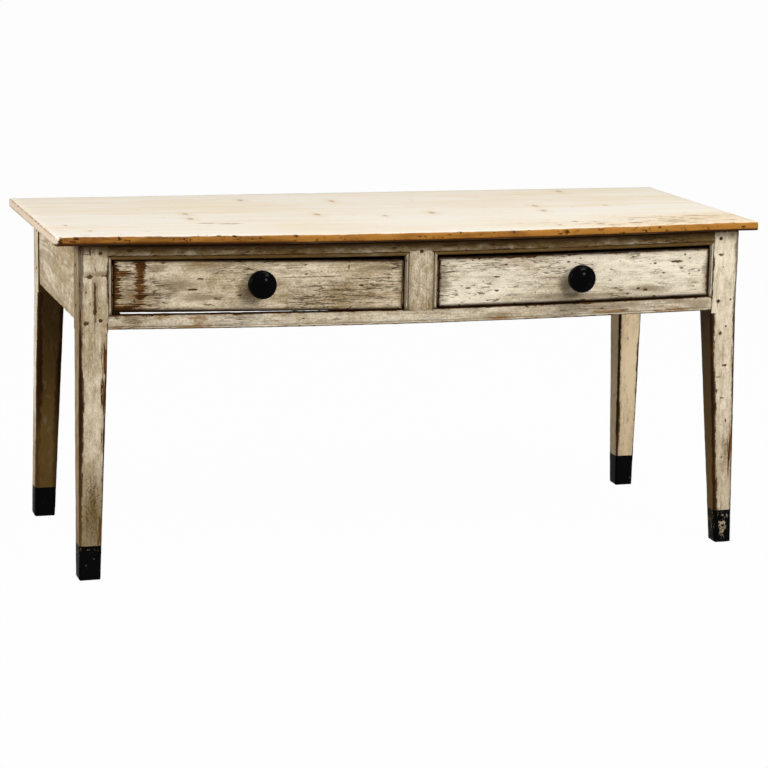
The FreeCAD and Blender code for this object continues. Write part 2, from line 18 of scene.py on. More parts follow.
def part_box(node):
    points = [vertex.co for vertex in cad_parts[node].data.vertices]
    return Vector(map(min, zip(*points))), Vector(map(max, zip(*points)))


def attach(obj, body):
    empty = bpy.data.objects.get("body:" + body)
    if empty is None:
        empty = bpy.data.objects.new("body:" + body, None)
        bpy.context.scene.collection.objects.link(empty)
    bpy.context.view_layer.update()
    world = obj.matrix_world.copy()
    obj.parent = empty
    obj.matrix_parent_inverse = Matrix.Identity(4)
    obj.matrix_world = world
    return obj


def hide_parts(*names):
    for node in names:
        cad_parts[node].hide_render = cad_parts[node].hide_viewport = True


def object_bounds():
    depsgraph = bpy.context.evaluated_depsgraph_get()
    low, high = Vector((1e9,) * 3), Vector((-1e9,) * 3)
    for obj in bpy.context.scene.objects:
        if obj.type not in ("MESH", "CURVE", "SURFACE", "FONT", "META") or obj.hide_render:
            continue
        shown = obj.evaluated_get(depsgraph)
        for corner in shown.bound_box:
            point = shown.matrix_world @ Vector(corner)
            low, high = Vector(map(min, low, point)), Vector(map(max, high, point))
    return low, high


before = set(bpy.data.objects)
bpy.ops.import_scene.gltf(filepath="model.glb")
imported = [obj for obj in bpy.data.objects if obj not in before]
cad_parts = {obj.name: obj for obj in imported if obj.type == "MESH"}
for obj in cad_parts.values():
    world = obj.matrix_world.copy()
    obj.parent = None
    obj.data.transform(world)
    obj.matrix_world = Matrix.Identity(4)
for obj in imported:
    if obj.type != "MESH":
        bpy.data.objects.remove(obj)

bl_info = {
    "name": "Prep Table",
    "version": (1, 0, 0),
    "blender": (4, 5, 0),
    "location": "3D View > Sidebar > Prep Table",
    "description": "Dresses a two-drawer pine prep table with worn boards, old paint and a scrubbed top",
    "category": "Object",
}

CAD_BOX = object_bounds()
X, Y, Z = range(3)
MM = 0.001

# Places read from the frame, in metres
TOP_BOARDS = [f"top_board_{number}" for number in range(1, 5)]
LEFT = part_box("front_left_leg")[0].x
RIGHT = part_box("rear_right_leg")[1].x
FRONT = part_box("front_left_leg")[0].y
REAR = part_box("rear_left_leg")[1].y
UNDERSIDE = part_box("front_left_leg")[1].z
RAIL_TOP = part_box("front_bottom_rail")[1].z
RAIL_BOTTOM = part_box("front_bottom_rail")[0].z
TOP_LOW = Vector([min(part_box(node)[0][axis] for node in TOP_BOARDS) for axis in range(3)])
TOP_HIGH = Vector([max(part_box(node)[1][axis] for node in TOP_BOARDS) for axis in range(3)])
BOARD_WIDTH = (TOP_HIGH.y - TOP_LOW.y) / len(TOP_BOARDS)
FRONT_RIGHT_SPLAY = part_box("front_right_leg")[1].x - RIGHT
REAR_LEFT_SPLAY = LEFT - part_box("rear_left_leg")[0].x

# Names of values kept for each point of a piece, of a vertex group and of the cage that sinks the front
ARRIS = "arris"
HIDDEN_SIDE = "hidden_side"
WORN_EDGES = "worn_edges"
DARK_ARRIS = "dark_arris"
LEVEL = "level"
BOW = "front_bow"

# Boards that are tenoned run this far into the piece that holds them
JOINT = 6 * MM

# Soft edges of small pieces, and the size of the hollows that hands wear into them
IRON_ARRIS = 0.3 * MM
PEG_ARRIS = 0.5 * MM
HAND_WEAR = 20 * MM

# How far each knob sits from the middle of its front
KNOB_SHIFTS = {
    "left_drawer": Vector((-3.5, 0.0, 4.0)) * MM,
    "right_drawer": Vector((4.5, 0.0, 0.5)) * MM,
}

# An edge is sharp past the first angle, is shaded smooth up to the second, and runs along an axis
# if this share of its length does
SHARP_ANGLE = math.radians(50)
SMOOTH_ANGLE = math.radians(38)
STRAIGHT_SHARE = 0.95

# Copies of solids: points this close are one, and faces that meet at less than this angle are one
MERGE_DISTANCE = 0.01 * MM
FLAT_ANGLE = math.radians(0.5)

# Most cuts that one subdivision makes
CUT_LIMIT = 100

# The lower and upper faces of a box among its depths
LOWER_FACE = Z
UPPER_FACE = 3 + Z

# Patterns of one seed lie this far, in lengths of the pattern, from those of the next
SEED_STRIDES = (7.1, 3.7, 5.3)

# Where the worktop starts to be bruised by work and is bruised most, and its edge darkened by hands
WORKED_X = (0.10, 0.65)
WORKED_Y = (-0.10, -0.22)
HANDLED_X = (-0.15, -0.70)

# How far cracks take to set in, how much a bare patch adds to wear, and where a dark band fades
CRACK_RISE = 0.14
PATCH_WEAR = 0.31
BAND_FADE = 30 * MM

# Width and height of the lamps, in metres
KEY_SIZE = (3.4, 2.6)
FRONT_SIZE = (1.0, 0.8)
FILL_SIZE = (2.2, 1.8)

# Width of the camera's sensor, in millimetres
SENSOR_WIDTH = 36.0

# Colours of the background and of the floor under it, and how much of the floor's shadow white hides
WHITE = (1.0, 1.0, 1.0, 1.0)
FLOOR_GREY = (0.42, 0.41, 0.40, 1.0)
FLOOR_WHITENESS = 0.98


def screen_colour(red, green, blue):
    """A colour as a screen shows it, 0 to 255, as the linear values that a shader takes."""
    return tuple(Color((red / 255, green / 255, blue / 255)).from_srgb_to_scene_linear())


def length_property(name, description, default):
    return FloatProperty(name=name, description=description, default=default, min=0.0, unit="LENGTH")


def colour_property(name, description, *default):
    return FloatVectorProperty(
        name=name, description=description, default=screen_colour(*default), subtype="COLOR",
        min=0.0, max=1.0,
    )


def place_property(name, description, *default):
    return FloatVectorProperty(
        name=name, description=description, default=default, subtype="XYZ", unit="LENGTH",
    )


def angle_property(name, description, degrees):
    return FloatProperty(
        name=name, description=description, default=math.radians(degrees), subtype="ANGLE",
    )


def power_property(name, description, default):
    return FloatProperty(name=name, description=description, default=default, min=0.0, unit="POWER")


class TableSizes(PropertyGroup):
    """Sizes of the boards and their wear that a user may change."""

    leg_width: length_property("Leg Width", "Square part of a leg from side to side", 0.064)
    leg_depth: length_property("Leg Depth", "Square part of a leg from front to rear", 0.070)
    taper_top: length_property("Taper Top", "Height at which the legs start to narrow", 0.558)
    sock_height: length_property("Sock Height", "Height of the black paint on the feet", 0.080)
    top_bow: length_property("Top Bow", "How far the top has sunk at the middle of its front edge", 0.0080)
    rail_bow: length_property("Rail Bow", "How far the bottom rail has sunk at its middle", 0.0098)
    left_clearance: length_property("Left Clearance", "Gap under the left drawer front", 0.0016)
    right_clearance: length_property("Right Clearance", "Gap under the right drawer front", 0.0018)
    left_front_lift: length_property("Left Front Lift", "How far the left drawer front sits up", 0.0016)
    left_front_tilt: angle_property("Left Front Tilt", "How far the left drawer front is tipped", 0.72)
    peg_shift: length_property("Peg Shift", "How far the pegs lie towards the middle of their rails", 0.0055)
    unevenness: length_property("Unevenness", "How far the planed faces wander from flat", 0.0009)
    arris_wear: length_property("Arris Wear", "How deep the dents along the sharp edges are", 0.0022)
    worn_corner: length_property("Worn Corner", "Radius of the worn front left corner of the top", 0.018)
    top_corner: length_property("Top Corner", "Radius of the other corners of the top", 0.004)
    top_arris: length_property("Top Arris", "Radius of the top's edges", 0.003)


class TableColours(PropertyGroup):
    """Colours of the finishes that a user may change."""

    scrubbed_pale: colour_property("Scrubbed Pale", "The palest scrubbed wood of the top", 246, 238, 224)
    scrubbed_warm: colour_property("Scrubbed Warm", "Warmer grain of the top", 238, 219, 186)
    knot_brown: colour_property("Knot Brown", "Knots, nail marks and dents in the top", 150, 104, 62)
    edge_gold: colour_property("Edge Gold", "Waxed front edge of the top", 176, 120, 50)
    edge_dark: colour_property("Edge Dark", "Handled parts of the front edge", 98, 58, 20)
    end_grain: colour_property("End Grain", "Sawn ends of the top boards", 230, 212, 188)
    cream_pale: colour_property("Cream Pale", "Cleanest old paint", 248, 237, 214)
    cream_warm: colour_property("Cream Warm", "Yellowed old paint", 252, 226, 180)
    cream_dark: colour_property("Cream Dark", "Dirty old paint", 150, 127, 88)
    # This brown is also used as painted shade under the top, on the legs' hidden sides and on the top rail
    stain: colour_property("Stain", "Old paint stained brown by hands and smoke", 106, 82, 42)
    bare_light: colour_property("Bare Light", "Wood where the paint has gone", 120, 78, 38)
    bare_dark: colour_property("Bare Dark", "Dirty wood where the paint has gone", 68, 39, 14)
    scuff: colour_property("Scuff", "Wood that shows through thin paint", 142, 103, 58)
    # This dark colour is also the painted shade under the top, on hidden sides and in the gaps between pieces
    grime_and_shade: colour_property("Grime", "Dirt in corners, cracks and pits", 46, 28, 12)
    raw_light: colour_property("Raw Light", "Unfinished pine inside", 204, 166, 116)
    raw_dark: colour_property("Raw Dark", "Dark grain of the unfinished pine", 150, 108, 64)
    black_paint: colour_property("Black Paint", "Paint of the feet and the knobs", 3, 3, 3)
    iron: colour_property("Iron", "Screws and nails", 70, 62, 56)
    rust: colour_property("Rust", "Rust on the screws and nails", 96, 58, 34)


class TableStage(PropertyGroup):
    """The camera and the lamps."""

    camera_place: place_property("Camera Place", "Where the camera stands", -1.7002, -5.6712, 1.5565)
    camera_yaw: angle_property("Camera Yaw", "How far the camera is turned to the right", 16.831)
    camera_pitch: angle_property("Camera Pitch", "How far the camera looks down", 11.448)
    camera_roll: angle_property("Camera Roll", "How far the camera is tipped to the left", 1.127)
    lens: FloatProperty(name="Lens", description="Focal length", subtype="DISTANCE_CAMERA", default=118.27)
    lamp_aim: place_property("Lamp Aim", "Where the lamps point", 0.0, 0.0, 0.55)
    key_place: place_property("Key Place", "Where the lamp above the front right hangs", 1.75, -2.50, 4.85)
    key_power: power_property("Key Power", "Lamp above the front right", 199.0)
    front_place: place_property("Front Place", "Where the low lamp at the front hangs", 1.90, -4.70, 2.65)
    front_power: power_property("Front Power", "Low lamp at the front right", 91.0)
    fill_place: place_property("Fill Place", "Where the lamp at the left end hangs", -4.25, -0.75, 1.95)
    fill_power: power_property("Fill Power", "Lamp at the left end", 125.0)
    sky: FloatProperty(name="Sky", description="Light from all round", default=0.13, min=0.0)
    floor_size: length_property("Floor Size", "Side of the floor", 90.0)


# Mesh work


def select_only(piece):
    """Selects one piece, alone, and makes it the active one."""
    bpy.ops.object.select_all(action="DESELECT")
    piece.select_set(True)
    bpy.context.view_layer.objects.active = piece


def open_edit(piece):
    """Opens one piece, alone, in edit mode."""
    select_only(piece)
    bpy.ops.object.mode_set(mode="EDIT")


def close_edit():
    bpy.ops.object.mode_set(mode="OBJECT")


def pick(piece, kind, test):
    """Selects the edges or faces of an open piece that pass a test, and counts them."""
    bpy.ops.mesh.select_mode(type=kind)
    bpy.ops.mesh.select_all(action="DESELECT")
    mesh = bmesh.from_edit_mesh(piece.data)
    parts = mesh.edges if kind == "EDGE" else mesh.faces
    found = [part for part in parts if test(part)]
    for part in found:
        part.select_set(True)
    bmesh.update_edit_mesh(piece.data)
    return len(found)


def longest_edge(piece, test):
    """The length of the longest edge of an open piece that passes a test."""
    mesh = bmesh.from_edit_mesh(piece.data)
    return max(edge.calc_length() for edge in mesh.edges if test(edge))


def edge_middle(edge):
    return (edge.verts[0].co + edge.verts[1].co) / 2


def runs_along(edge, axis):
    step = edge.verts[1].co - edge.verts[0].co
    return abs(step[axis]) > STRAIGHT_SHARE * step.length


def block(name, low, high):
    """A cube between two corners, open in edit mode, with its place in its mesh."""
    bpy.ops.object.select_all(action="DESELECT")
    bpy.ops.mesh.primitive_cube_add(size=1.0, location=(Vector(low) + Vector(high)) / 2)
    piece = bpy.context.object
    piece.name = name
    piece.data.name = name
    piece.scale = Vector(high) - Vector(low)
    bpy.ops.object.transform_apply(location=True, rotation=True, scale=True)
    open_edit(piece)
    return piece


def saw(axis, *levels):
    """Adds a ring of edges round the open piece at each level along an axis."""
    normal = Vector((0, 0, 0))
    normal[axis] = 1.0
    for level in levels:
        bpy.ops.mesh.select_all(action="SELECT")
        bpy.ops.mesh.bisect(plane_co=normal * level, plane_no=normal)


def extrude_back(distance):
    """Draws what is selected out towards the rear, or forward if the distance is below 0."""
    bpy.ops.mesh.extrude_region_move(TRANSFORM_OT_translate={"value": (0, distance, 0)})


def divide(piece, axis, spacing, low=-math.inf, high=math.inf):
    """Divides the edges along an axis, between two places on it, into parts of about this length."""

    def chosen(edge):
        return runs_along(edge, axis) and low < edge_middle(edge)[axis] < high

    parts = round(longest_edge(piece, chosen) / spacing)
    while parts > 1:
        share = min(parts, CUT_LIMIT)
        pick(piece, "EDGE", chosen)
        bpy.ops.mesh.subdivide(number_cuts=share - 1)
        parts = math.ceil(parts / CUT_LIMIT) if share == CUT_LIMIT else 1


def ease(piece, radius, steps, test=lambda edge: True):
    """Rounds the sharp edges that pass a test."""

    def sharp(edge):
        return len(edge.link_faces) == 2 and edge.calc_face_angle() > SHARP_ANGLE and test(edge)

    if pick(piece, "EDGE", sharp):
        bpy.ops.mesh.bevel(offset=radius, segments=steps, profile=0.5, affect="EDGES")


def points_of(piece):
    """Every point of a piece, as rows of three numbers."""
    count = len(piece.data.vertices)
    flat = np.empty(count * 3, np.float32)
    piece.data.vertices.foreach_get("co", flat)
    return flat.reshape(count, 3)


def box_depths(points, low, high):
    """How far each point lies inside each of a box's six faces, the three low ones first."""
    return np.concatenate([points - np.array(low), np.array(high) - points], axis=1)


def keep_values(piece, name, values):
    """Keeps one number for each point of a piece, for the finishes."""
    attribute = piece.data.attributes.new(name, "FLOAT", "POINT")
    attribute.data.foreach_set("value", values.astype(np.float32))


def keep_arris(piece, depths):
    """Keeps each point's distance from the nearest arris, where two faces meet."""
    distance = np.sort(depths, axis=1)[:, 1].clip(0.0)
    keep_values(piece, ARRIS, distance)
    return distance


def keep_hidden_side(piece, depth, reach=0.5 * MM):
    """Marks the points at or near one face, by their depth inside it."""
    keep_values(piece, HIDDEN_SIDE, depth < reach)


def arris_group(piece, distance, reach):
    """Weighs the points near an arris, from 1 on it to 0 at this reach."""
    group = piece.vertex_groups.new(name=WORN_EDGES)
    for index in np.flatnonzero(distance < reach):
        group.add([int(index)], float(1.0 - distance[index] / reach), "REPLACE")


def apply(piece, modifier):
    bpy.context.view_layer.objects.active = piece
    bpy.ops.object.modifier_apply(modifier=modifier.name)


def roughen(piece, size, depth, inwards=0.5, group=""):
    """Moves a surface in and out by a cloud pattern of this size, all over or by a vertex group."""
    texture = bpy.data.textures.new(piece.name + "_uneven", "CLOUDS")
    texture.noise_scale = size
    modifier = piece.modifiers.new("Uneven", "DISPLACE")
    modifier.texture = texture
    modifier.texture_coords = "LOCAL"
    modifier.strength = depth
    modifier.mid_level = inwards
    modifier.vertex_group = group
    apply(piece, modifier)


def weather(piece, depths, sizes, reach=4 * MM, dent=22 * MM):
    """Ages a board: its faces wander a little, its arrises are dented, and its heights are kept."""
    wander = 160 * MM
    nick = dent / 4
    distance = keep_arris(piece, depths)
    arris_group(piece, distance, reach)
    roughen(piece, wander, sizes.unevenness)
    roughen(piece, dent, sizes.arris_wear, inwards=0.95, group=WORN_EDGES)
    roughen(piece, nick, sizes.arris_wear / 3, inwards=0.9, group=WORN_EDGES)
    piece.vertex_groups.clear()
    keep_values(piece, LEVEL, points_of(piece)[:, Z])


def bow(piece):
    """Sinks a piece with the middle of the table's front."""
    modifier = piece.modifiers.new("Bow", "LATTICE")
    modifier.object = bpy.data.objects[BOW]
    apply(piece, modifier)


def finish_piece(piece, material, node, body):
    """Gives a finished piece its material, smooth shading and body, and hides the node that it stands for."""
    select_only(piece)
    bpy.ops.object.shade_smooth_by_angle(angle=SMOOTH_ANGLE)
    piece.data.materials.clear()
    piece.data.materials.append(material)
    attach(piece, body)
    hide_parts(node)
    return piece


def copy_of(node, name):
    """A copy of a node's solid, merged, its flat faces made whole, open in edit mode."""
    piece = bpy.data.objects.new(name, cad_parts[node].data.copy())
    bpy.context.scene.collection.objects.link(piece)
    open_edit(piece)
    bpy.ops.mesh.select_all(action="SELECT")
    bpy.ops.mesh.remove_doubles(threshold=MERGE_DISTANCE)
    bpy.ops.mesh.dissolve_limited(angle_limit=FLAT_ANGLE)
    return piece


def soften(piece, width):
    """Takes the sharpness off every edge of a piece."""
    modifier = piece.modifiers.new("Soft Edges", "BEVEL")
    modifier.width = width
    modifier.segments = 2
    modifier.limit_method = "ANGLE"
    modifier.angle_limit = SHARP_ANGLE
    apply(piece, modifier)


# Shader work


class Value:
    """Something that varies over a surface. Sums and products of values add Math nodes."""

    def __init__(self, shader, socket):
        self.shader = shader
        self.socket = socket

    def output(self, name):
        """Another output of the node that this value comes from."""
        return Value(self.shader, self.socket.node.outputs[name])

    def math(self, operation, first, second=0.0):
        return self.shader.node("ShaderNodeMath", {"operation": operation}, {0: first, 1: second})

    def __add__(self, other):
        return self.math("ADD", self, other)

    __radd__ = __add__

    def __mul__(self, other):
        return self.math("MULTIPLY", self, other)

    __rmul__ = __mul__

    def __sub__(self, other):
        return self.math("SUBTRACT", self, other)

    def __rsub__(self, other):
        return self.math("SUBTRACT", other, self)

    def __truediv__(self, other):
        return self.math("DIVIDE", self, other)

    def __abs__(self):
        return self.math("ABSOLUTE", self)

    def least(self, other):
        return self.math("MINIMUM", self, other)

    def most(self, other):
        return self.math("MAXIMUM", self, other)

    def floor(self):
        return self.math("FLOOR", self)

    def sine(self):
        return self.math("SINE", self)


class Shader:
    """A tree of shader nodes in the making."""

    def __init__(self, tree):
        self.tree = tree
        tree.nodes.clear()

    def node(self, kind, settings=None, sockets=None, output=0):
        """Adds a node: its settings first, then the values or links of its sockets."""
        made = self.tree.nodes.new(kind)
        for name, value in (settings or {}).items():
            setattr(made, name, value)
        for key, value in (sockets or {}).items():
            if isinstance(value, Value):
                self.tree.links.new(value.socket, made.inputs[key])
            else:
                made.inputs[key].default_value = value
        return Value(self, made.outputs[output]) if made.outputs else None

    def background_share(self):
        """1 for rays that see the background straight, in a mirror or through glass, and 0 for light."""
        path = self.node("ShaderNodeLightPath", output="Is Camera Ray")
        return path.most(path.output("Is Glossy Ray")).most(path.output("Is Transmission Ray"))


class Finish(Shader):
    """A material in the making. Its patterns are laid out in Object coordinates, in metres."""

    def __init__(self, name, seed=0.0):
        self.material = bpy.data.materials.new(name)
        self.material.use_nodes = True
        super().__init__(self.material.node_tree)
        self.shift = [seed * stride for stride in SEED_STRIDES]
        self.place = self.node("ShaderNodeTexCoord", output="Object")

    def axes(self):
        """The three Object coordinates."""
        split = self.node("ShaderNodeSeparateXYZ", None, {0: self.place})
        return split, split.output("Y"), split.output("Z")

    def grain_space(self, size, along, stretch):
        """Object coordinates counted in lengths of this size, drawn out along one axis."""
        scale = [1.0 / size] * 3
        scale[along] /= stretch
        return self.node(
            "ShaderNodeMapping", None, {"Vector": self.place, "Location": self.shift, "Scale": scale},
        )

    def noise(self, size, along=X, stretch=1.0, detail=2.0, roughness=0.5, twist=0.0):
        """A cloudy pattern from 0 to 1, mostly near a half."""
        sockets = {
            "Vector": self.grain_space(size, along, stretch), "Scale": 1.0,
            "Detail": detail, "Roughness": roughness, "Distortion": twist,
        }
        return self.node("ShaderNodeTexNoise", None, sockets)

    def drift(self, *form, **settings):
        """The same cloudy pattern, up to a half to either side of 0."""
        return self.noise(*form, **settings) - 0.5

    def cells(self, size, along=X, stretch=1.0):
        """Scattered points: the distance from the nearest, and a number that is its own."""
        sockets = {"Vector": self.grain_space(size, along, stretch), "Scale": 1.0}
        made = self.node("ShaderNodeTexVoronoi", None, sockets)
        own = self.node("ShaderNodeSeparateColor", None, {0: made.output("Color")})
        return made, own

    def step(self, value, start, end):
        """0 at the start and 1 at the end, which may be the lower one, with a soft change between them."""
        settings = {"interpolation_type": "SMOOTHSTEP"}
        return self.node("ShaderNodeMapRange", settings, {0: value, 1: start, 2: end})

    def attribute(self, name):
        """A number kept for each point of the piece."""
        return self.node("ShaderNodeAttribute", {"attribute_name": name}, output="Fac")

    def mix(self, factor, first, second):
        """From one colour to another, the sockets 6 and 7 of a Mix node."""
        sockets = {0: factor}
        for key, colour in ((6, first), (7, second)):
            sockets[key] = colour if isinstance(colour, Value) else (*colour, 1.0)
        return self.node("ShaderNodeMix", {"data_type": "RGBA"}, sockets, output=2)

    def nearest(self, spots):
        """The distance from the nearest of some spots, each a middle and three radii: 1 on its rim."""
        best = None
        for middle, radii in spots:
            scale = [1.0 / radius for radius in radii]
            start = [-m * s for m, s in zip(middle, scale)]
            sockets = {"Vector": self.place, "Location": start, "Scale": scale}
            local = self.node("ShaderNodeMapping", None, sockets)
            far = self.node("ShaderNodeVectorMath", {"operation": "LENGTH"}, {0: local}, output="Value")
            best = far if best is None else best.least(far)
        return best

    def within(self, spots, core, rim, torn=0.0):
        """1 in the core of some spots and 0 past their rim, with outlines torn by a pattern."""
        return self.step(self.nearest(spots) + torn, rim, core)

    def surface(self, colour, roughness, height, depth, specular=0.3):
        """Ends the material with a shader whose bumps are this deep where the height goes from 0 to 1."""
        normal = self.node("ShaderNodeBump", None, {"Distance": depth, "Height": height})
        sockets = {
            "Base Color": colour, "Roughness": roughness, "Normal": normal, "Specular IOR Level": specular,
        }
        shader = self.node("ShaderNodeBsdfPrincipled", None, sockets)
        self.node("ShaderNodeOutputMaterial", None, {"Surface": shader})
        return self.material


# Marks reach this far into a piece, in millimetres
FACE_DEPTH = 45


def ellipsoids(*rows):
    """Spots of any form: the middle and the three radii of each, in millimetres."""
    return tuple((tuple(Vector(middle) * MM), tuple(Vector(radii) * MM)) for middle, radii in rows)


def front_spots(*rows):
    """Spots on faces that look forward: x, z, half width and half height of each, in millimetres."""
    y = FRONT / MM
    return ellipsoids(*(((x, y, z), (width, FACE_DEPTH, height)) for x, z, width, height in rows))


def top_spots(*rows):
    """Spots on the worktop: x, y, half width and half depth of each, in millimetres."""
    z = TOP_HIGH.z / MM
    return ellipsoids(*(((x, y, z), (width, depth, FACE_DEPTH)) for x, y, width, depth in rows))


# Finish of the top


class ScrubbedPine(Finish):
    """Pale scrubbed boards with a waxed golden front edge, sawn ends and a raw underside."""

    def __init__(self, colours):
        super().__init__("scrubbed_pine", seed=1.0)
        self.colours = colours
        self.x, self.y, self.z = self.axes()
        self.fine = self.drift(3.5 * MM, X, stretch=60.0, detail=5.0, roughness=0.6)
        self.figure = self.drift(22 * MM, X, stretch=16.0, detail=3.0, twist=0.5)
        self.cloud = self.drift(220 * MM, X, stretch=1.7, detail=3.0)
        self.speck = self.drift(3 * MM, X, stretch=3.0, detail=3.0)
        self.dents = self.noise(9 * MM, X, stretch=1.8, detail=5.0, roughness=0.65)
        self.across = self.step(self.x, TOP_LOW.x, TOP_HIGH.x)
        self.worked = self.step(self.x, *WORKED_X) * self.step(self.y, *WORKED_Y)
        self.level = (self.attribute(LEVEL) - TOP_LOW.z) / (TOP_HIGH.z - TOP_LOW.z)
        self.low = self.step(self.level + self.cloud * 0.4, 0.42, 0.06)
        self.knots = self.nearest(TOP_KNOTS) + self.speck * 0.8
        self.knot_cores = self.step(self.knots, 0.95, 0.30)

    def from_front(self, start, end):
        """0 at one distance from the front edge and 1 at the other."""
        return self.step(self.y, TOP_LOW.y + start, TOP_LOW.y + end)

    def from_left(self, start, end):
        """0 at one distance from the left end and 1 at the other."""
        return self.step(self.x, TOP_LOW.x + start, TOP_LOW.x + end)

    def scrubbed(self):
        """Pale wood, a little different on each board, with knots and old stains."""
        number = ((self.y - TOP_LOW.y) / BOARD_WIDTH).floor()
        own = self.node("ShaderNodeTexWhiteNoise", {"noise_dimensions": "1D"}, {"W": number})
        warm = self.fine * 0.9 + self.figure + self.cloud * 1.1 + own * 0.16
        # The term along x makes the right end a little warmer and darker: painted shade that offsets the
        # stronger lamp light there
        warm = warm + self.across * 0.05 + self.worked * 0.3 + 0.20
        colour = self.mix(self.step(warm, 0.0, 1.0), self.colours.scrubbed_pale, self.colours.scrubbed_warm)
        halo = self.step(self.knots, 2.8, 0.7)
        colour = self.mix(halo * 0.5, colour, self.colours.scrubbed_warm)
        colour = self.mix(self.knot_cores * 0.5, colour, self.colours.knot_brown)
        stain = self.within(TOP_STAINS, 0.3, 1.2, self.cloud)
        return self.mix(stain * 0.45, colour, self.colours.scrubbed_warm)

    def bruised(self):
        """Gouges, and bruises that are thickest where people have worked."""
        gouges = self.within(TOP_GOUGES, 0.35, 1.0, self.speck * 1.3)
        bruise_field = self.noise(16 * MM, X, stretch=2.4, detail=6.0, roughness=0.68) + self.worked * 0.12
        return gouges.most(self.step(bruise_field, 0.64, 0.72) * 0.6)

    def rim(self):
        """The front edge, and the worn arris under it."""
        rim = self.step(self.y + self.fine * (3 * MM), TOP_LOW.y + 3.4 * MM, TOP_LOW.y + 0.6 * MM)
        return rim.most(self.low * self.from_front(9 * MM, 5 * MM))

    def waxed(self):
        """Golden wax, browner where hands have been and darker towards its lower part, and black along the
        lowest part, with dirt and painted shadow.
        """
        left_end = self.step(self.x, *HANDLED_X)
        worn = self.noise(20 * MM, X, stretch=5.0, detail=6.0, roughness=0.65) + self.low * 0.5
        worn = worn + left_end * 0.1 - self.across * 0.12
        wax = self.mix(self.step(worn, 0.34, 0.78), self.colours.edge_gold, self.colours.edge_dark)
        wax = self.mix(self.step(self.dents, 0.56, 0.66) * 0.7, wax, self.colours.edge_dark)
        # Painted shadow and dirt: the lowest part of the edge goes nearly black above the gap to the rail
        return self.mix(self.step(self.level, 0.30, 0.12), wax, self.colours.grime_and_shade)

    def nicks(self):
        """Brown nicks along the front arris."""
        along = self.from_front(12 * MM, 3 * MM)
        return self.step(self.dents + along * 0.04, 0.65, 0.68) * along

    def with_ends(self, colour):
        """Adds the sawn ends, their nicked upper arris and the dirt of the worn corner."""
        rings = (self.noise(30 * MM, X, stretch=30.0, detail=2.0) * 70.0).sine()
        sawn = self.mix(self.step(rings, -0.4, 1.0) * 0.25, self.colours.end_grain, self.colours.knot_brown)
        sawn = self.mix(self.low * 0.5, sawn, self.colours.edge_dark)
        left = self.from_left(3 * MM, 1.8 * MM)
        right = self.step(self.x, TOP_HIGH.x - 1.6 * MM, TOP_HIGH.x - 0.5 * MM)
        corner = self.within(TOP_WORN_CORNER, 0.9, 1.1) * self.from_left(8 * MM, 5 * MM)
        colour = self.mix(left.most(right).most(corner), colour, sawn)
        arris = self.from_left(5 * MM, 2.5 * MM) * self.step(self.level, 0.75, 0.92)
        colour = self.mix(arris * self.step(self.dents, 0.40, 0.60) * 0.8, colour, self.colours.knot_brown)
        dirt = self.within(TOP_CORNER_DIRT, 0.5, 1.0, self.speck * 1.2)
        return self.mix(dirt, colour, self.colours.bare_dark)

    def raw(self):
        """Unfinished wood of the underside."""
        light = self.step(self.fine + self.cloud * 0.7, -0.15, 0.15)
        return self.mix(light, self.colours.raw_dark, self.colours.raw_light)


def scrubbed_pine(colours):
    """The finish of the top."""
    wood = ScrubbedPine(colours)
    hurt = wood.bruised()
    rim = wood.rim()
    colour = wood.mix(hurt * 0.75, wood.scrubbed(), colours.knot_brown)
    colour = wood.mix(rim, colour, wood.waxed())
    colour = wood.mix(wood.nicks(), colour, colours.bare_dark)
    colour = wood.with_ends(colour)
    below = wood.step(wood.z, TOP_LOW.z + 1.4 * MM, TOP_LOW.z + 0.2 * MM)
    colour = wood.mix(below * (1.0 - rim), colour, wood.raw())
    height = wood.fine * 0.6 + wood.figure * 0.4 - hurt * 0.9 - wood.knot_cores * 0.3
    return wood.surface(colour, 0.72 - rim * 0.26, height, depth=0.35 * MM, specular=0.04)


# Finish of the painted base


@dataclass
class PaintLook:
    """How the old paint looks on one piece: shares run from 0 to 1, and lengths are in metres."""

    # The axis of the grain, and a number that gives the piece patterns of its own
    grain: int
    seed: float

    # Dirt, yellowing, brown stain, fine grit and grain that shows through
    tone: float = 0.35
    warmth: float = 0.0
    stain: float = 0.0
    grit: float = 1.0
    figure: float = 0.0

    # Wear, dark lines of dirt and painted shade along the arrises, soft stains along them, and painted shade
    # under the top
    edge_wear: float = 0.20
    edge_reach: float = 0.006
    arris_grime_and_shade: float = 0.5
    line_reach: float = 0.003
    edge_stain: float = 0.3
    dark_edge: float = 0.0
    shade_top: float = 0.0

    # The side that is marked as hidden: worn, stained and dirty, with painted shade in its stain and dirt,
    # and painted shade from the table that grows towards the top
    hidden_wear: float = 0.0
    hidden_stain_and_shade: float = 0.0
    hidden_grime_and_shadow: float = 0.0
    table_shade: float = 0.0

    # Cracks and the level from which a pattern has them, chips, pits, and speckle in cracked spots
    crackle: float = 0.6
    crack_level: float = 0.46
    dashes: float = 0.65
    pits: float = 0.08
    speckle: float = 0.25

    # Spots of bare wood, thin paint, soft dirt and painted shadow, cracks and single chips
    patches: tuple = ()
    scuffs: tuple = ()
    smudges_and_shadows: tuple = ()
    cracked: tuple = ()
    marks: tuple = ()

    # Dirt low on a leg, and the height and chips of its black foot
    low_dirt: float = 0.5
    sock: float = 0.0
    sock_chips: float = 0.0


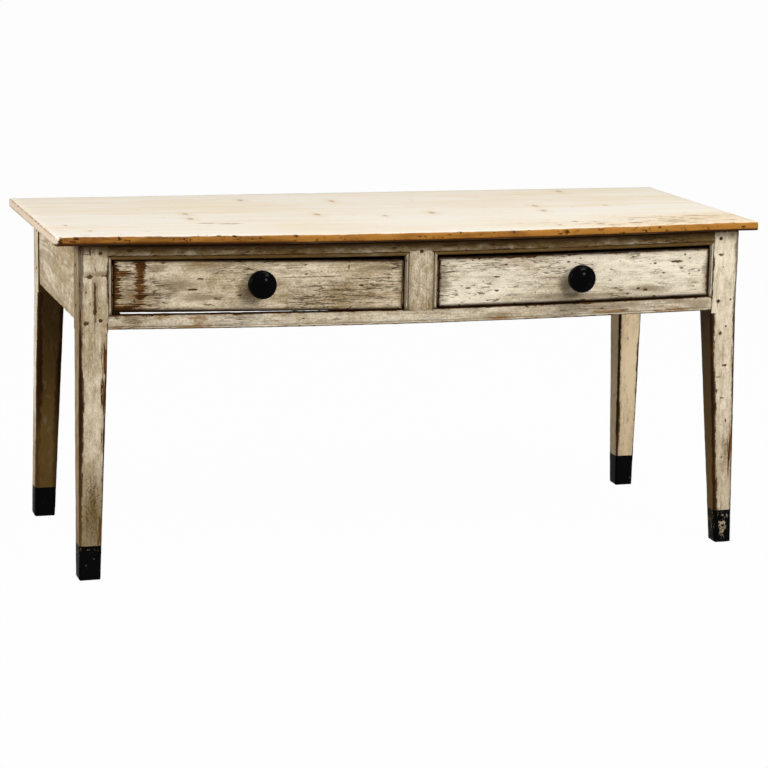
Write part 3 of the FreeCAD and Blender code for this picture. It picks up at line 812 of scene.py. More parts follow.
class OldPaint(Finish):
    """Old cream paint on pine: stained, crackled and pitted, worn to brown wood along the arrises, and
    darkened by painted shade under the top, on hidden sides and along the gaps.
    """

    def __init__(self, name, look, colours):
        super().__init__(name, look.seed)
        self.look = look
        self.colours = colours
        self.broad = self.drift(120 * MM, look.grain, stretch=2.0, detail=3.0)
        self.mottle = self.drift(13 * MM, look.grain, stretch=2.4, detail=6.0, roughness=0.65)
        self.streak = self.drift(3.2 * MM, look.grain, stretch=26.0, detail=5.0, roughness=0.6)
        self.flake = self.drift(9.5 * MM, look.grain, stretch=2.6, detail=8.0, roughness=0.68)
        self.arris = self.attribute(ARRIS)
        self.near_edge = self.step(self.arris, look.edge_reach, 0.0)
        crack_field = self.noise(100 * MM, look.grain, stretch=1.5, detail=3.0)
        self.crack_area = self.step(crack_field, look.crack_level, look.crack_level + CRACK_RISE)
        if look.cracked:
            self.cracked = self.within(look.cracked, 0.5, 1.1, self.mottle * 1.2)
            self.crack_area = self.crack_area.most(self.cracked)
        if look.figure:
            self.bands = self.wavy_grain() * look.figure

    def wavy_grain(self):
        """Long wavy lines of grain that show through thin paint."""
        field = self.noise(110 * MM, self.look.grain, stretch=8.0, detail=2.0, twist=0.3)
        return self.step((field * 100.0).sine(), 0.1, 0.95)

    def bare_wood(self):
        """Where the paint has gone, and the dirty lip of the paint round it."""
        look = self.look
        level = self.flake + self.near_edge * look.edge_wear + self.broad * 0.25
        level = level + self.crack_area * look.crackle * 0.06
        if look.patches:
            torn = self.mottle * 0.8 + self.streak * 4.5 + self.flake * 2.0
            level = level + self.within(look.patches, 0.60, 1.15, torn) * PATCH_WEAR
        if look.hidden_wear:
            level = level + self.attribute(HIDDEN_SIDE) * look.hidden_wear
        bare = self.step(level, 0.190, 0.215)
        return bare, self.step(level, 0.155, 0.192) * (1.0 - bare)

    def wood_colour(self):
        """Brown wood under the paint, darkest along the arrises."""
        light = self.step(self.streak + self.mottle * 0.7, -0.19, 0.17)
        wood = self.mix(light, self.colours.bare_dark, self.colours.bare_light)
        return self.mix(self.near_edge * 0.3, wood, self.colours.bare_dark)

    def chips(self):
        """Short dashes, pits, fine speckle and single chips."""
        look = self.look
        dash_area = self.step(self.noise(70 * MM, look.grain, stretch=1.8, detail=3.0), 0.38, 0.60)
        dash_field = self.noise(6.4 * MM, look.grain, stretch=4.5, detail=4.0, roughness=0.62, twist=0.4)
        dashes = self.step(dash_field, 0.590, 0.635) * dash_area
        spread, own = self.cells(9 * MM, look.grain, stretch=2.4)
        pits = self.step(spread + self.flake * 1.4, 0.20, 0.09)
        pits = pits * self.step(own, 0.985 - look.pits, 1.0 - look.pits)
        chips = (dashes * look.dashes).most(pits)
        if look.cracked:
            speckle = self.step(self.noise(4.4 * MM, look.grain, stretch=1.3), 0.53, 0.60)
            chips = chips.most(speckle * self.cracked * look.speckle)
        if look.marks:
            chips = chips.most(self.within(look.marks, 0.45, 0.95, self.flake * 4.5 + self.mottle * 1.5))
        return chips

    def cracks(self):
        """Fine cracks along the grain, and dark dirt with painted shadow on the hidden side."""
        look = self.look
        field = self.drift(10 * MM, look.grain, stretch=9.0, detail=3.0, roughness=0.6, twist=0.15)
        cracks = self.step(abs(field), 0.042, 0.008) * self.crack_area * look.crackle
        # The hidden side is darkened: dirt, and painted shadow such as under a drawer front
        if look.hidden_grime_and_shadow:
            cracks = cracks.most(self.attribute(HIDDEN_SIDE) * look.hidden_grime_and_shadow)
        return cracks

    def dark_band(self):
        """A ragged band along the marked arrises, fainter beside the rails, and its darker core."""
        reach = self.look.dark_edge
        ragged = self.attribute(DARK_ARRIS) + (self.flake * 1.8 + self.broad * 2.4) * reach
        above = self.step(self.axes()[Z], RAIL_BOTTOM - BAND_FADE, RAIL_BOTTOM + BAND_FADE)
        strength = 1.0 - above * 0.5
        band = self.step(ragged, 1.1 * reach, 0.75 * reach) * strength
        core = self.step(ragged, 0.8 * reach, 0.45 * reach) * strength
        return band, core

    def cream(self):
        """Uneven cream, with grit, grain and stains."""
        look = self.look
        speck = self.drift(2.4 * MM, look.grain, stretch=1.8, detail=2.0)
        grit = (self.streak + speck * 1.1) * look.grit
        tone = self.broad * 1.5 + self.mottle * 1.5 + grit + look.tone
        clean = self.mix(look.warmth, self.colours.cream_pale, self.colours.cream_warm)
        colour = self.mix(self.step(tone, -0.35, 1.1), clean, self.colours.cream_dark)
        if look.figure:
            colour = self.mix(self.bands, colour, self.colours.cream_dark)
        if look.stain:
            stain = self.step(self.broad * 0.5 + self.mottle * 0.8 + look.stain, 0.0, 0.70)
            colour = self.mix(stain, colour, self.colours.stain)
        return colour

    def under_top(self, start, end):
        """A painted shade, the shadow of the top, that grows between two distances below the top."""
        level = self.attribute(LEVEL) + self.mottle * (14 * MM)
        return self.step(level, UNDERSIDE - start, UNDERSIDE - end) * self.look.shade_top

    def soft_dirt_and_shade(self):
        """Brown dirt along the arrises and in spots, some of them painted shadow, with painted shade under
        the top and brown stain partly standing for shade on the hidden side.
        """
        look = self.look
        uneven = self.arris + self.mottle * (20 * MM) + self.flake * (30 * MM)
        dirt = self.step(uneven, 16 * MM, 0.0) * look.edge_stain
        # Spots of brown dirt, some of which are painted shadow
        if look.smudges_and_shadows:
            torn = self.mottle * 1.6 + self.streak * 2.6 + self.flake * 1.2
            dirt = dirt.most(self.within(look.smudges_and_shadows, 0.2, 1.1, torn) * 0.65)
        # Painted shade: brown below the top, which shades the piece
        if look.shade_top:
            dirt = dirt.most(self.under_top(34 * MM, 5 * MM))
        # Brown stain on the hidden side, partly painted shade
        if look.hidden_stain_and_shade:
            dirt = dirt.most(self.attribute(HIDDEN_SIDE) * (self.mottle * 0.9 + look.hidden_stain_and_shade))
        return dirt

    def black_sock(self, colour, height):
        """Dirt low on a leg, and black paint round its foot with chips that show what is under it."""
        look = self.look
        up = self.axes()[Z]
        dirt = self.step(up + self.noise(50 * MM, Z, stretch=3.0, detail=4.0) * 0.25, 0.50, 0.16)
        colour = self.mix(dirt * look.low_dirt, colour, self.colours.stain)
        edge = up + self.drift(20 * MM) * (3 * MM)
        inside = self.step(edge, look.sock + 0.4 * MM, look.sock - 0.4 * MM)
        chips = self.noise(10.5 * MM, Z, stretch=1.3, detail=7.0, roughness=0.70) + look.sock_chips
        black = inside * self.step(chips + self.drift(30 * MM) * 0.1, 0.668, 0.640)
        colour = self.mix(inside * 0.5, colour, self.colours.stain)
        return self.mix(black, colour, self.colours.black_paint), height * (1.0 - black) + black * 0.6


def cream_paint(name, look, colours):
    """The finish of one painted piece, from the paint up to its dirt, damage and painted shade."""
    paint = OldPaint(name, look, colours)
    bare, lip = paint.bare_wood()
    chips = paint.chips()
    cracks = paint.cracks()
    if look.dark_edge:
        band, core = paint.dark_band()
        chips = chips.most(band)
        cracks = cracks.most(core)
    hurt = chips.most(cracks)
    colour = paint.mix(paint.soft_dirt_and_shade(), paint.cream(), colours.stain)
    # Painted shadow: a darker band right under the top
    if look.shade_top:
        colour = paint.mix(paint.under_top(24 * MM, 2 * MM), colour, colours.grime_and_shade)
    if look.scuffs:
        rubbed = paint.within(look.scuffs, 0.2, 1.1, paint.flake * 3.2 + paint.streak * 3.0)
        colour = paint.mix(rubbed * 0.8, colour, colours.scuff)
    colour = paint.mix(lip * 0.45, colour, colours.bare_dark)
    colour = paint.mix(bare, colour, paint.wood_colour())
    colour = paint.mix(chips * 0.92, colour, colours.bare_dark)
    colour = paint.mix(cracks, colour, colours.grime_and_shade)
    # Painted shade: the hidden side darkens towards the top, where the table keeps light off it
    if look.table_shade:
        table_shade = paint.step(paint.axes()[Z] + paint.broad * 0.5, 0.1, 0.65) * look.table_shade
        colour = paint.mix(table_shade * paint.attribute(HIDDEN_SIDE), colour, colours.grime_and_shade)
    # A dark line along every arris: dirt, and painted shade in the gaps and joints between pieces
    line = paint.step(paint.arris + paint.mottle * (5 * MM), look.line_reach, 0.4 * MM)
    colour = paint.mix(line * look.arris_grime_and_shade, colour, colours.grime_and_shade)
    height = (1.0 - bare) * 0.7 + paint.streak * 0.5 - hurt * 0.8
    if look.figure:
        height = height - paint.bands * 0.8
    if look.sock:
        colour, height = paint.black_sock(colour, height)
    return paint.surface(colour, 0.55 + bare * 0.2 + hurt * 0.2, height, depth=0.5 * MM, specular=0.03)


# Other finishes


def raw_pine(name, along, seed, colours):
    """Unfinished aged pine with dark lines of grain and dust."""
    wood = Finish(name, seed)
    fine = wood.drift(3.5 * MM, along, stretch=40.0, detail=5.0, roughness=0.6)
    lines = (wood.noise(16 * MM, along, stretch=12.0, detail=3.0, twist=0.5) * 60.0).sine()
    cloud = wood.drift(160 * MM, along, stretch=2.0, detail=3.0)
    dark = fine * 1.2 + wood.step(lines, 0.1, 1.0) * 0.28 + cloud * 1.3 + 0.35
    colour = wood.mix(wood.step(dark, 0.0, 1.0), colours.raw_light, colours.raw_dark)
    dirt = wood.step(wood.attribute(ARRIS), 8 * MM, 0.0) * wood.step(cloud, -0.10, 0.12)
    colour = wood.mix(dirt * 0.3, colour, colours.bare_dark)
    return wood.surface(colour, 0.78 + fine * 0.2, fine - lines * 0.2, depth=0.3 * MM, specular=0.2)


def gloss_black(colours):
    """Glossy black paint on turned wood, with fine rings, and dull and brown where hands have worn it."""
    paint = Finish("gloss_black", 4.0)
    cloud = paint.noise(18 * MM, detail=4.0)
    rings = paint.noise(1.6 * MM, Y, stretch=0.25, detail=2.0)
    worn = paint.step(paint.noise(6 * MM, detail=5.0, roughness=0.6), 0.66, 0.74)
    colour = paint.mix(worn * 0.5, colours.black_paint, colours.bare_dark)
    roughness = 0.08 + cloud * 0.08 + worn * 0.3
    return paint.surface(colour, roughness, rings * 0.3 + cloud, depth=0.1 * MM, specular=0.025)


def dark_peg(colours):
    """The darkened end grain of a peg."""
    wood = Finish("dark_peg", 5.0)
    rings = wood.drift(1.2 * MM, detail=3.0)
    cloud = wood.drift(6 * MM, detail=3.0)
    colour = wood.mix(wood.step(rings + cloud, -0.15, 0.20), colours.grime_and_shade, colours.bare_dark)
    return wood.surface(colour, 0.7 + rings * 0.2, rings, depth=0.3 * MM)


def old_iron(colours):
    """Dull iron with rust, made once."""
    known = bpy.data.materials.get("old_iron")
    if known:
        return known
    metal = Finish("old_iron", 6.0)
    cloud = metal.noise(3 * MM, detail=4.0)
    rust = metal.step(cloud, 0.46, 0.60)
    colour = metal.mix(rust, colours.iron, colours.rust)
    return metal.surface(colour, 0.45 + rust * 0.35, cloud, depth=0.2 * MM, specular=0.5)


# Marks seen on the photographed table

TOP_KNOTS = top_spots(
    (-467, 25, 11, 20), (-472, -58, 12, 20), (-161, -15, 12, 22), (-67, 195, 10, 24), (-285, 238, 10, 22),
    (118, -22, 12, 22), (403, 45, 11, 22), (395, -35, 10, 20), (557, 292, 12, 26), (-7, -55, 8, 14),
    (578, 30, 8, 14), (-774, -141, 6, 12), (-735, -231, 7, 12),
)
TOP_WORN_CORNER = ellipsoids(((-828, -317, 762), (24, 24, 11)))
TOP_CORNER_DIRT = ellipsoids(
    ((-812, -318, 755), (60, 30, 7)), ((-815, -318, 762), (8, 12, 9)), ((-780, -318, 771), (9, 8, 4)),
)
TOP_STAINS = top_spots((-647, 231, 60, 15), (-360, -100, 130, 18), (500, 30, 150, 20))
TOP_GOUGES = top_spots(
    (-450, -130, 30, 8), (-400, -141, 40, 9), (539, -267, 26, 12), (451, -266, 16, 9), (406, -216, 12, 9),
    (470, -290, 12, 8), (640, -250, 30, 6), (590, -190, 95, 4), (740, -192, 90, 5), (352, -262, 8, 8),
    (700, -230, 20, 8), (620, -222, 14, 6),
)
FRONT_LEFT_PATCHES = front_spots(
    (-717, 505, 7, 46), (-718, 415, 8, 40), (-721, 330, 5, 30), (-724, 110, 9, 45),
)
FRONT_LEFT_MARKS = front_spots(
    (-751, 684, 12, 4), (-713, 686, 12, 4), (-737, 640, 3, 62), (-738, 604, 5, 9), (-748, 742, 2, 10),
    (-757, 734, 9, 2), (-758, 582, 8, 4), (-727, 614, 3, 3), (-709, 660, 3, 95),
)
FRONT_LEFT_CRACKED = front_spots((-745, 170, 22, 90))
FRONT_LEFT_SMUDGES = front_spots((-744, 160, 20, 80), (-730, 690, 40, 8), (-737, 640, 9, 60))
LEFT_DRAWER_PATCHES = front_spots(
    (-699, 672, 17, 75), (-637, 676, 12, 75), (-672, 615, 42, 9), (-672, 690, 18, 8),
)
LEFT_DRAWER_SCUFFS = front_spots((-505, 708, 26, 5), (-640, 625, 22, 26))
LEFT_DRAWER_MARKS = front_spots(
    (-668, 612, 40, 7), (-690, 700, 6, 4), (-684, 676, 14, 2), (-250, 671, 80, 1.1), (-110, 664, 72, 1.1),
    (-265, 622, 50, 0.9), (-270, 614, 45, 0.9), (-163, 690, 2.4, 7), (-520, 650, 14, 2.2),
    (-500, 673, 9, 2),
)
LEFT_DRAWER_CRACKED = front_spots((-625, 660, 75, 70), (-205, 630, 110, 34), (-60, 680, 30, 30))
# The spot at the knob's lower left is painted shadow of the knob over hand dirt; the other spots are dirt
LEFT_DRAWER_SMUDGES_AND_SHADOW = front_spots(
    (-490, 705, 70, 18), (-600, 700, 30, 12), (-500, 632, 60, 14), (-640, 640, 60, 40),
    (-90, 690, 60, 12), (-385, 640, 26, 20), (-560, 660, 70, 26),
)
# The spot at the knob's lower left is painted shadow of the knob over hand dirt; the other spots are dirt
RIGHT_DRAWER_SMUDGES_AND_SHADOW = front_spots(
    (380, 610, 200, 12), (706, 650, 12, 55), (560, 622, 60, 10), (60, 650, 18, 60), (355, 636, 26, 20),
)
RIGHT_DRAWER_MARKS = front_spots(
    (632, 684, 14, 3), (663, 691, 5, 4), (651, 699, 4, 3), (537, 623, 7, 3), (553, 619, 8, 3),
    (119, 636, 8, 3), (187, 628, 9, 3), (188, 659, 9, 1.6), (78, 674, 28, 1.5), (520, 697, 3, 3),
)
TOP_RAIL_MARKS = front_spots((-627, 746, 12, 5), (-583, 743, 6, 4), (-441, 738, 16, 1.4))
BOTTOM_RAIL_SCUFFS = front_spots(
    (-513, 580, 22, 18), (-584, 592, 22, 8), (-690, 570, 22, 5), (-520, 566, 50, 5), (640, 569, 80, 6),
    (470, 571, 60, 5), (200, 563, 40, 6),
)
# Brown dirt on the rail; on its right half the spots also stand for shadow, as painted shade
BOTTOM_RAIL_SMUDGES_AND_SHADE = front_spots(
    (-653, 585, 36, 12), (200, 572, 60, 9), (420, 590, 80, 9), (640, 590, 60, 12), (690, 580, 50, 24),
    (560, 597, 190, 8), (480, 570, 110, 6), (470, 583, 230, 20),
)
FRONT_RIGHT_MARKS = front_spots(
    (748, 668, 4, 4), (741, 697, 8, 4), (748, 511, 4, 5), (760, 433, 6, 3), (742, 372, 7, 6),
    (758, 354, 7, 3), (762, 527, 4, 3), (770, 590, 3, 3), (752, 405, 14, 1.6), (748, 250, 7, 4),
    (766, 210, 5, 5), (723, 660, 3, 95),
)
FRONT_RIGHT_PATCHES = ellipsoids(((788, -303, 480), (9, 9, 90)), ((790, -303, 250), (9, 9, 60)))


# Pieces


def paint_piece(piece, node, look, context, body="frame"):
    """Finishes a piece in old cream paint of its own."""
    material = cream_paint(node + "_paint", look, context.scene.table_colours)
    finish_piece(piece, material, node, body)


def between_legs(node, sizes):
    """The box of a board whose two ends are tenoned into the legs."""
    low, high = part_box(node)
    low.x, high.x = LEFT + sizes.leg_width - JOINT, RIGHT - sizes.leg_width + JOINT
    return low, high


# The faces of a leg in the order of its depths: two sides, then front and rear
OUTER_SIDE, INNER_SIDE, OUTER_FACE, INNER_FACE = range(4)


@dataclass
class LegForm:
    """A leg's outer corner, the ways inwards from it, its foot and which of its parts are dark."""

    corner: Vector
    right: int
    back: int
    splay: float
    foot: float
    hidden: int
    dark_arrises: dict


def leg_depths(points, form, sizes):
    """How far each point lies inside the faces of a leg, which narrows and leans below its taper."""
    down = (1.0 - points[:, Z] / sizes.taper_top).clip(0.0)
    width = sizes.leg_width - (sizes.leg_width - form.foot) * down
    depth = sizes.leg_depth - (sizes.leg_depth - form.foot) * down
    across = (points[:, X] - form.corner.x) * form.right + form.splay * down
    deep = (points[:, Y] - form.corner.y) * form.back
    faces = [across, width - across, deep, depth - deep, points[:, Z], UNDERSIDE - points[:, Z]]
    return np.stack(faces, axis=1)


def make_leg(node, form, sizes):
    """A square block, narrowed below on its two inner faces, with rounded arrises."""
    face_height, face_width = 7 * MM, 11 * MM
    outer_round, taper_round, square_round, foot_round = 5 * MM, 4 * MM, 1.2 * MM, 2.2 * MM
    foot_end = 10 * MM
    corner_room = form.splay + 4 * MM
    corner = form.corner
    front = OUTER_FACE if form.back > 0 else INNER_FACE
    far = corner + Vector((form.right * sizes.leg_width, form.back * sizes.leg_depth, 0.0))
    low = Vector((min(corner.x, far.x), min(corner.y, far.y), 0.0))
    high = Vector((max(corner.x, far.x), max(corner.y, far.y), UNDERSIDE))
    piece = block(node + "_worn", low, high)
    saw(Z, sizes.taper_top)
    pick(piece, "FACE", lambda face: face.normal.z < -STRAIGHT_SHARE)
    shares = (form.foot / sizes.leg_width, form.foot / sizes.leg_depth, 1.0)
    bpy.ops.transform.resize(value=shares, center_override=corner)
    bpy.ops.transform.translate(value=(-form.right * form.splay, 0.0, 0.0))
    divide(piece, Z, face_height, high=sizes.taper_top)
    divide(piece, Z, face_height, low=sizes.taper_top)
    divide(piece, X, face_width)
    divide(piece, Y, face_width)

    def upright(edge):
        return runs_along(edge, Z)

    def outer(edge):
        place = edge_middle(edge)
        far_off = max(abs(place.x - corner.x), abs(place.y - corner.y))
        return upright(edge) and far_off < corner_room

    def below(edge):
        return upright(edge) and edge_middle(edge).z < sizes.taper_top

    ease(piece, outer_round, 3, outer)
    ease(piece, taper_round, 3, below)
    ease(piece, square_round, 2, upright)
    ease(piece, foot_round, 2, lambda edge: edge_middle(edge).z < foot_end)
    close_edit()
    points = points_of(piece)
    depths = leg_depths(points, form, sizes)
    keep_hidden_side(piece, depths[:, form.hidden])
    joined = np.ix_(points[:, Z] > sizes.taper_top, (INNER_SIDE, INNER_FACE))
    depths[joined] = sizes.leg_width
    distances = [
        np.maximum(depths[:, side], depths[:, front]) + further for side, further in form.dark_arrises.items()
    ]
    keep_values(piece, DARK_ARRIS, np.minimum.reduce(distances).clip(0.0))
    weather(piece, depths, sizes, reach=7 * MM, dent=30 * MM)
    return piece


def make_board(name, low, high, spacing, sizes, arris=1.8 * MM, sunk=True):
    """A plain board: a block cut into small faces, its arrises rounded and worn."""
    piece = block(name, low, high)
    for axis in range(3):
        if high[axis] - low[axis] > 2 * spacing[axis]:
            divide(piece, axis, spacing[axis])
    ease(piece, arris, 3)
    close_edit()
    weather(piece, box_depths(points_of(piece), low, high), sizes)
    if sunk:
        bow(piece)
    return piece


class PREPTABLE_OT_bow(Operator):
    """Make the cage that sinks the front of the table between its legs"""

    bl_idname = "prep_table.bow"
    bl_label = "Bow of the Front"

    def execute(self, context):
        stations = 13
        sizes = context.scene.table_sizes
        low = Vector((LEFT + sizes.leg_width / 2, CAD_BOX[0].y, RAIL_BOTTOM))
        high = Vector((RIGHT - sizes.leg_width / 2, REAR, TOP_HIGH.z))
        bpy.ops.object.select_all(action="DESELECT")
        bpy.ops.object.add(type="LATTICE", location=(low + high) / 2)
        cage = context.object
        cage.name = BOW
        cage.scale = high - low
        cage.data.points_u = stations
        cage.data.points_v = 2
        cage.data.points_w = 2
        cage.data.interpolation_type_v = "KEY_LINEAR"
        cage.data.interpolation_type_w = "KEY_LINEAR"
        for point in cage.data.points:
            along, back, up = (value + 0.5 for value in point.co)
            depth = sizes.rail_bow + (sizes.top_bow - sizes.rail_bow) * up
            sunk = depth * (1.0 - back) * math.sin(math.pi * along)
            point.co_deform.z = point.co.z - sunk / cage.scale.z
        return {"FINISHED"}


def upright_at(x, y):
    """A test that upright edges at this place pass."""

    def test(edge):
        place = edge_middle(edge)
        return runs_along(edge, Z) and max(abs(place.x - x), abs(place.y - y)) < MM

    return test


class PREPTABLE_OT_top(Operator):
    """Make the scrubbed boards of the top"""

    bl_idname = "prep_table.top"
    bl_label = "Scrubbed Top"

    def execute(self, context):
        sizes = context.scene.table_sizes
        material = scrubbed_pine(context.scene.table_colours)
        for number, node in enumerate(TOP_BOARDS):
            low = Vector((TOP_LOW.x, TOP_LOW.y + number * BOARD_WIDTH, TOP_LOW.z))
            high = Vector((TOP_HIGH.x, low.y + BOARD_WIDTH, TOP_HIGH.z))
            piece = self.board(node, low, high, number, sizes)
            depths = box_depths(points_of(piece), TOP_LOW, TOP_HIGH)
            weather(piece, depths, sizes, reach=5 * MM, dent=26 * MM)
            bow(piece)
            finish_piece(piece, material, node, "frame")
        return {"FINISHED"}

    def board(self, node, low, high, number, sizes):
        """One board with its tongue and groove, and the top's round corners on the outer ones."""
        corner_room = sizes.worn_corner + 4 * MM
        rim_room = sizes.worn_corner * 0.4
        tongue = 7 * MM
        seam_arris = 0.5 * MM
        face_length = 5.6 * MM
        face_width = 10 * MM
        at_front = number == 0
        at_rear = number == len(TOP_BOARDS) - 1
        piece = block(node + "_scrubbed", low, high)
        saw(X, low.x + corner_room, high.x - corner_room)
        if at_front:
            saw(Y, low.y + corner_room)
        if at_rear:
            saw(Y, high.y - corner_room)
        self.round_corners(piece, low, high, at_front, at_rear, sizes)
        third = (high.z - low.z) / 3
        saw(Z, low.z + third, high.z - third)
        divide(piece, X, face_length, low.x + corner_room, high.x - corner_room)
        inner_low = low.y + corner_room if at_front else low.y
        inner_high = high.y - corner_room if at_rear else high.y
        divide(piece, Y, face_width, inner_low, inner_high)

        def in_middle_third(face):
            return abs(face.calc_center_median().z - (low.z + high.z) / 2) < third / 2

        if not at_rear:
            pick(piece, "FACE", lambda face: face.normal.y > STRAIGHT_SHARE and in_middle_third(face))
            extrude_back(tongue)
        if not at_front:
            pick(piece, "FACE", lambda face: face.normal.y < -STRAIGHT_SHARE and in_middle_third(face))
            extrude_back(tongue)

        def at_face(edge):
            height = edge_middle(edge).z
            return min(height - low.z, high.z - height) < MM

        def on_rim(edge):
            place = edge_middle(edge)
            inset = min(place.x - TOP_LOW.x, TOP_HIGH.x - place.x, place.y - TOP_LOW.y, TOP_HIGH.y - place.y)
            return inset < rim_room and at_face(edge) and not runs_along(edge, Z)

        ease(piece, sizes.top_arris, 3, on_rim)
        ease(piece, seam_arris, 1, lambda edge: runs_along(edge, X) and at_face(edge))
        close_edit()
        return piece

    def round_corners(self, piece, low, high, at_front, at_rear, sizes):
        """Rounds the upright edges at the top's outer corners; the front left one is worn most."""
        corners = []
        if at_front:
            corners += [(low.x, low.y, sizes.worn_corner), (high.x, low.y, sizes.top_corner)]
        if at_rear:
            corners += [(low.x, high.y, sizes.top_corner), (high.x, high.y, sizes.top_corner)]
        for x, y, radius in corners:
            ease(piece, radius, 6, upright_at(x, y))


class PREPTABLE_OT_legs(Operator):
    """Make the four painted legs with their black feet"""

    bl_idname = "prep_table.legs"
    bl_label = "Painted Legs"

    def execute(self, context):
        sizes = context.scene.table_sizes
        looks = self.looks(sizes.sock_height)
        for node, form in self.forms().items():
            piece = make_leg(node, form, sizes)
            paint_piece(piece, node, looks[node], context)
        return {"FINISHED"}

    def forms(self):
        """The places and feet of the legs, and their sides that are darkened."""
        creep = 4.5 * MM
        return {
            "front_left_leg": LegForm(
                corner=Vector((LEFT, FRONT, 0.0)), right=1, back=1, splay=3 * MM, foot=49.5 * MM,
                hidden=OUTER_SIDE, dark_arrises={OUTER_SIDE: 0.0, INNER_SIDE: 6 * MM},
            ),
            "front_right_leg": LegForm(
                corner=Vector((RIGHT, FRONT, 0.0)), right=-1, back=1, splay=FRONT_RIGHT_SPLAY + creep,
                foot=42 * MM, hidden=INNER_SIDE, dark_arrises={OUTER_SIDE: 3.5 * MM, INNER_SIDE: 0.0},
            ),
            "rear_left_leg": LegForm(
                corner=Vector((LEFT, REAR, 0.0)), right=1, back=-1, splay=REAR_LEFT_SPLAY + creep,
                foot=50 * MM, hidden=INNER_FACE, dark_arrises={OUTER_SIDE: 0.0, INNER_SIDE: 0.0},
            ),
            "rear_right_leg": LegForm(
                corner=Vector((RIGHT, REAR, 0.0)), right=-1, back=-1, splay=0.0, foot=46 * MM,
                hidden=INNER_SIDE, dark_arrises={OUTER_SIDE: 3 * MM, INNER_SIDE: 0.0},
            ),
        }

    def looks(self, sock):
        """The paint of each leg; the black paint ends at this height, and lower on the rear left leg."""
        shared = {"grain": Z, "edge_wear": 0.22, "edge_reach": 0.008, "arris_grime_and_shade": 0.3}
        return {
            "front_left_leg": PaintLook(
                seed=11.0, tone=0.47, warmth=0.2, grit=0.65, dashes=0.3, crack_level=0.62, speckle=0.8,
                shade_top=0.7, hidden_stain_and_shade=0.75, dark_edge=0.0090, low_dirt=0.6, sock=sock, sock_chips=0.03,
                patches=FRONT_LEFT_PATCHES, marks=FRONT_LEFT_MARKS, smudges_and_shadows=FRONT_LEFT_SMUDGES,
                cracked=FRONT_LEFT_CRACKED, **shared,
            ),
            # This leg's inner side is darkened with painted shade, for the table's shadow, over its stain and
            # dirt
            "front_right_leg": PaintLook(
                seed=12.0, tone=0.22, warmth=0.15, grit=0.65, dashes=0.45, crackle=0.4, crack_level=0.60,
                shade_top=0.5, pits=0.05, hidden_stain_and_shade=1.1, hidden_grime_and_shadow=0.1, table_shade=0.75, dark_edge=0.011,
                low_dirt=0.1, sock=sock, sock_chips=0.085,
                patches=FRONT_RIGHT_PATCHES, marks=FRONT_RIGHT_MARKS, **shared,
            ),
            # The front of this leg is darkened with painted shade, for the table's shadow, over its brown
            # stain
            "rear_left_leg": PaintLook(
                seed=13.0, tone=0.4, crackle=0.3, crack_level=0.60, pits=0.02, hidden_stain_and_shade=1.05, table_shade=0.8,
                dark_edge=0.013, sock=sock - 6.5 * MM, sock_chips=-0.06, **shared,
            ),
            # Paler and warmer paint than the other legs: partly this leg's own yellowed paint, partly painted
            # light where the top keeps the lamps off it
            "rear_right_leg": PaintLook(
                seed=14.0, tone=-0.2, warmth=0.8, grit=0.7, dashes=0.35, crackle=0.3, crack_level=0.62,
                shade_top=0.5, dark_edge=0.008, low_dirt=0.2, sock=sock, sock_chips=-0.06, **shared,
            ),
        }


class PREPTABLE_OT_aprons(Operator):
    """Make the boards at the ends and the rear of the base"""

    bl_idname = "prep_table.aprons"
    bl_label = "Aprons"

    def execute(self, context):
        sizes = context.scene.table_sizes
        end_faces = (11 * MM, 11 * MM, 11 * MM)
        rear_faces = (14 * MM, 11 * MM, 14 * MM)
        for number, node in enumerate(("left_end_apron", "right_end_apron")):
            low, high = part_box(node)
            low.y, high.y = FRONT + sizes.leg_depth - JOINT, REAR - sizes.leg_depth + JOINT
            piece = make_board(node + "_worn", low, high, end_faces, sizes, sunk=False)
            look = PaintLook(
                Y, 21.0 + number, tone=0.60, grit=0.6, figure=0.5, crackle=0.15, dashes=0.4, pits=0.03,
                arris_grime_and_shade=0.3,
            )
            paint_piece(piece, node, look, context)
        low, high = between_legs("rear_apron", sizes)
        piece = make_board("rear_apron_worn", low, high, rear_faces, sizes, sunk=False)
        look = PaintLook(X, 23.0, tone=0.40, figure=0.25, crackle=0.4, pits=0.04)
        paint_piece(piece, "rear_apron", look, context)
        return {"FINISHED"}


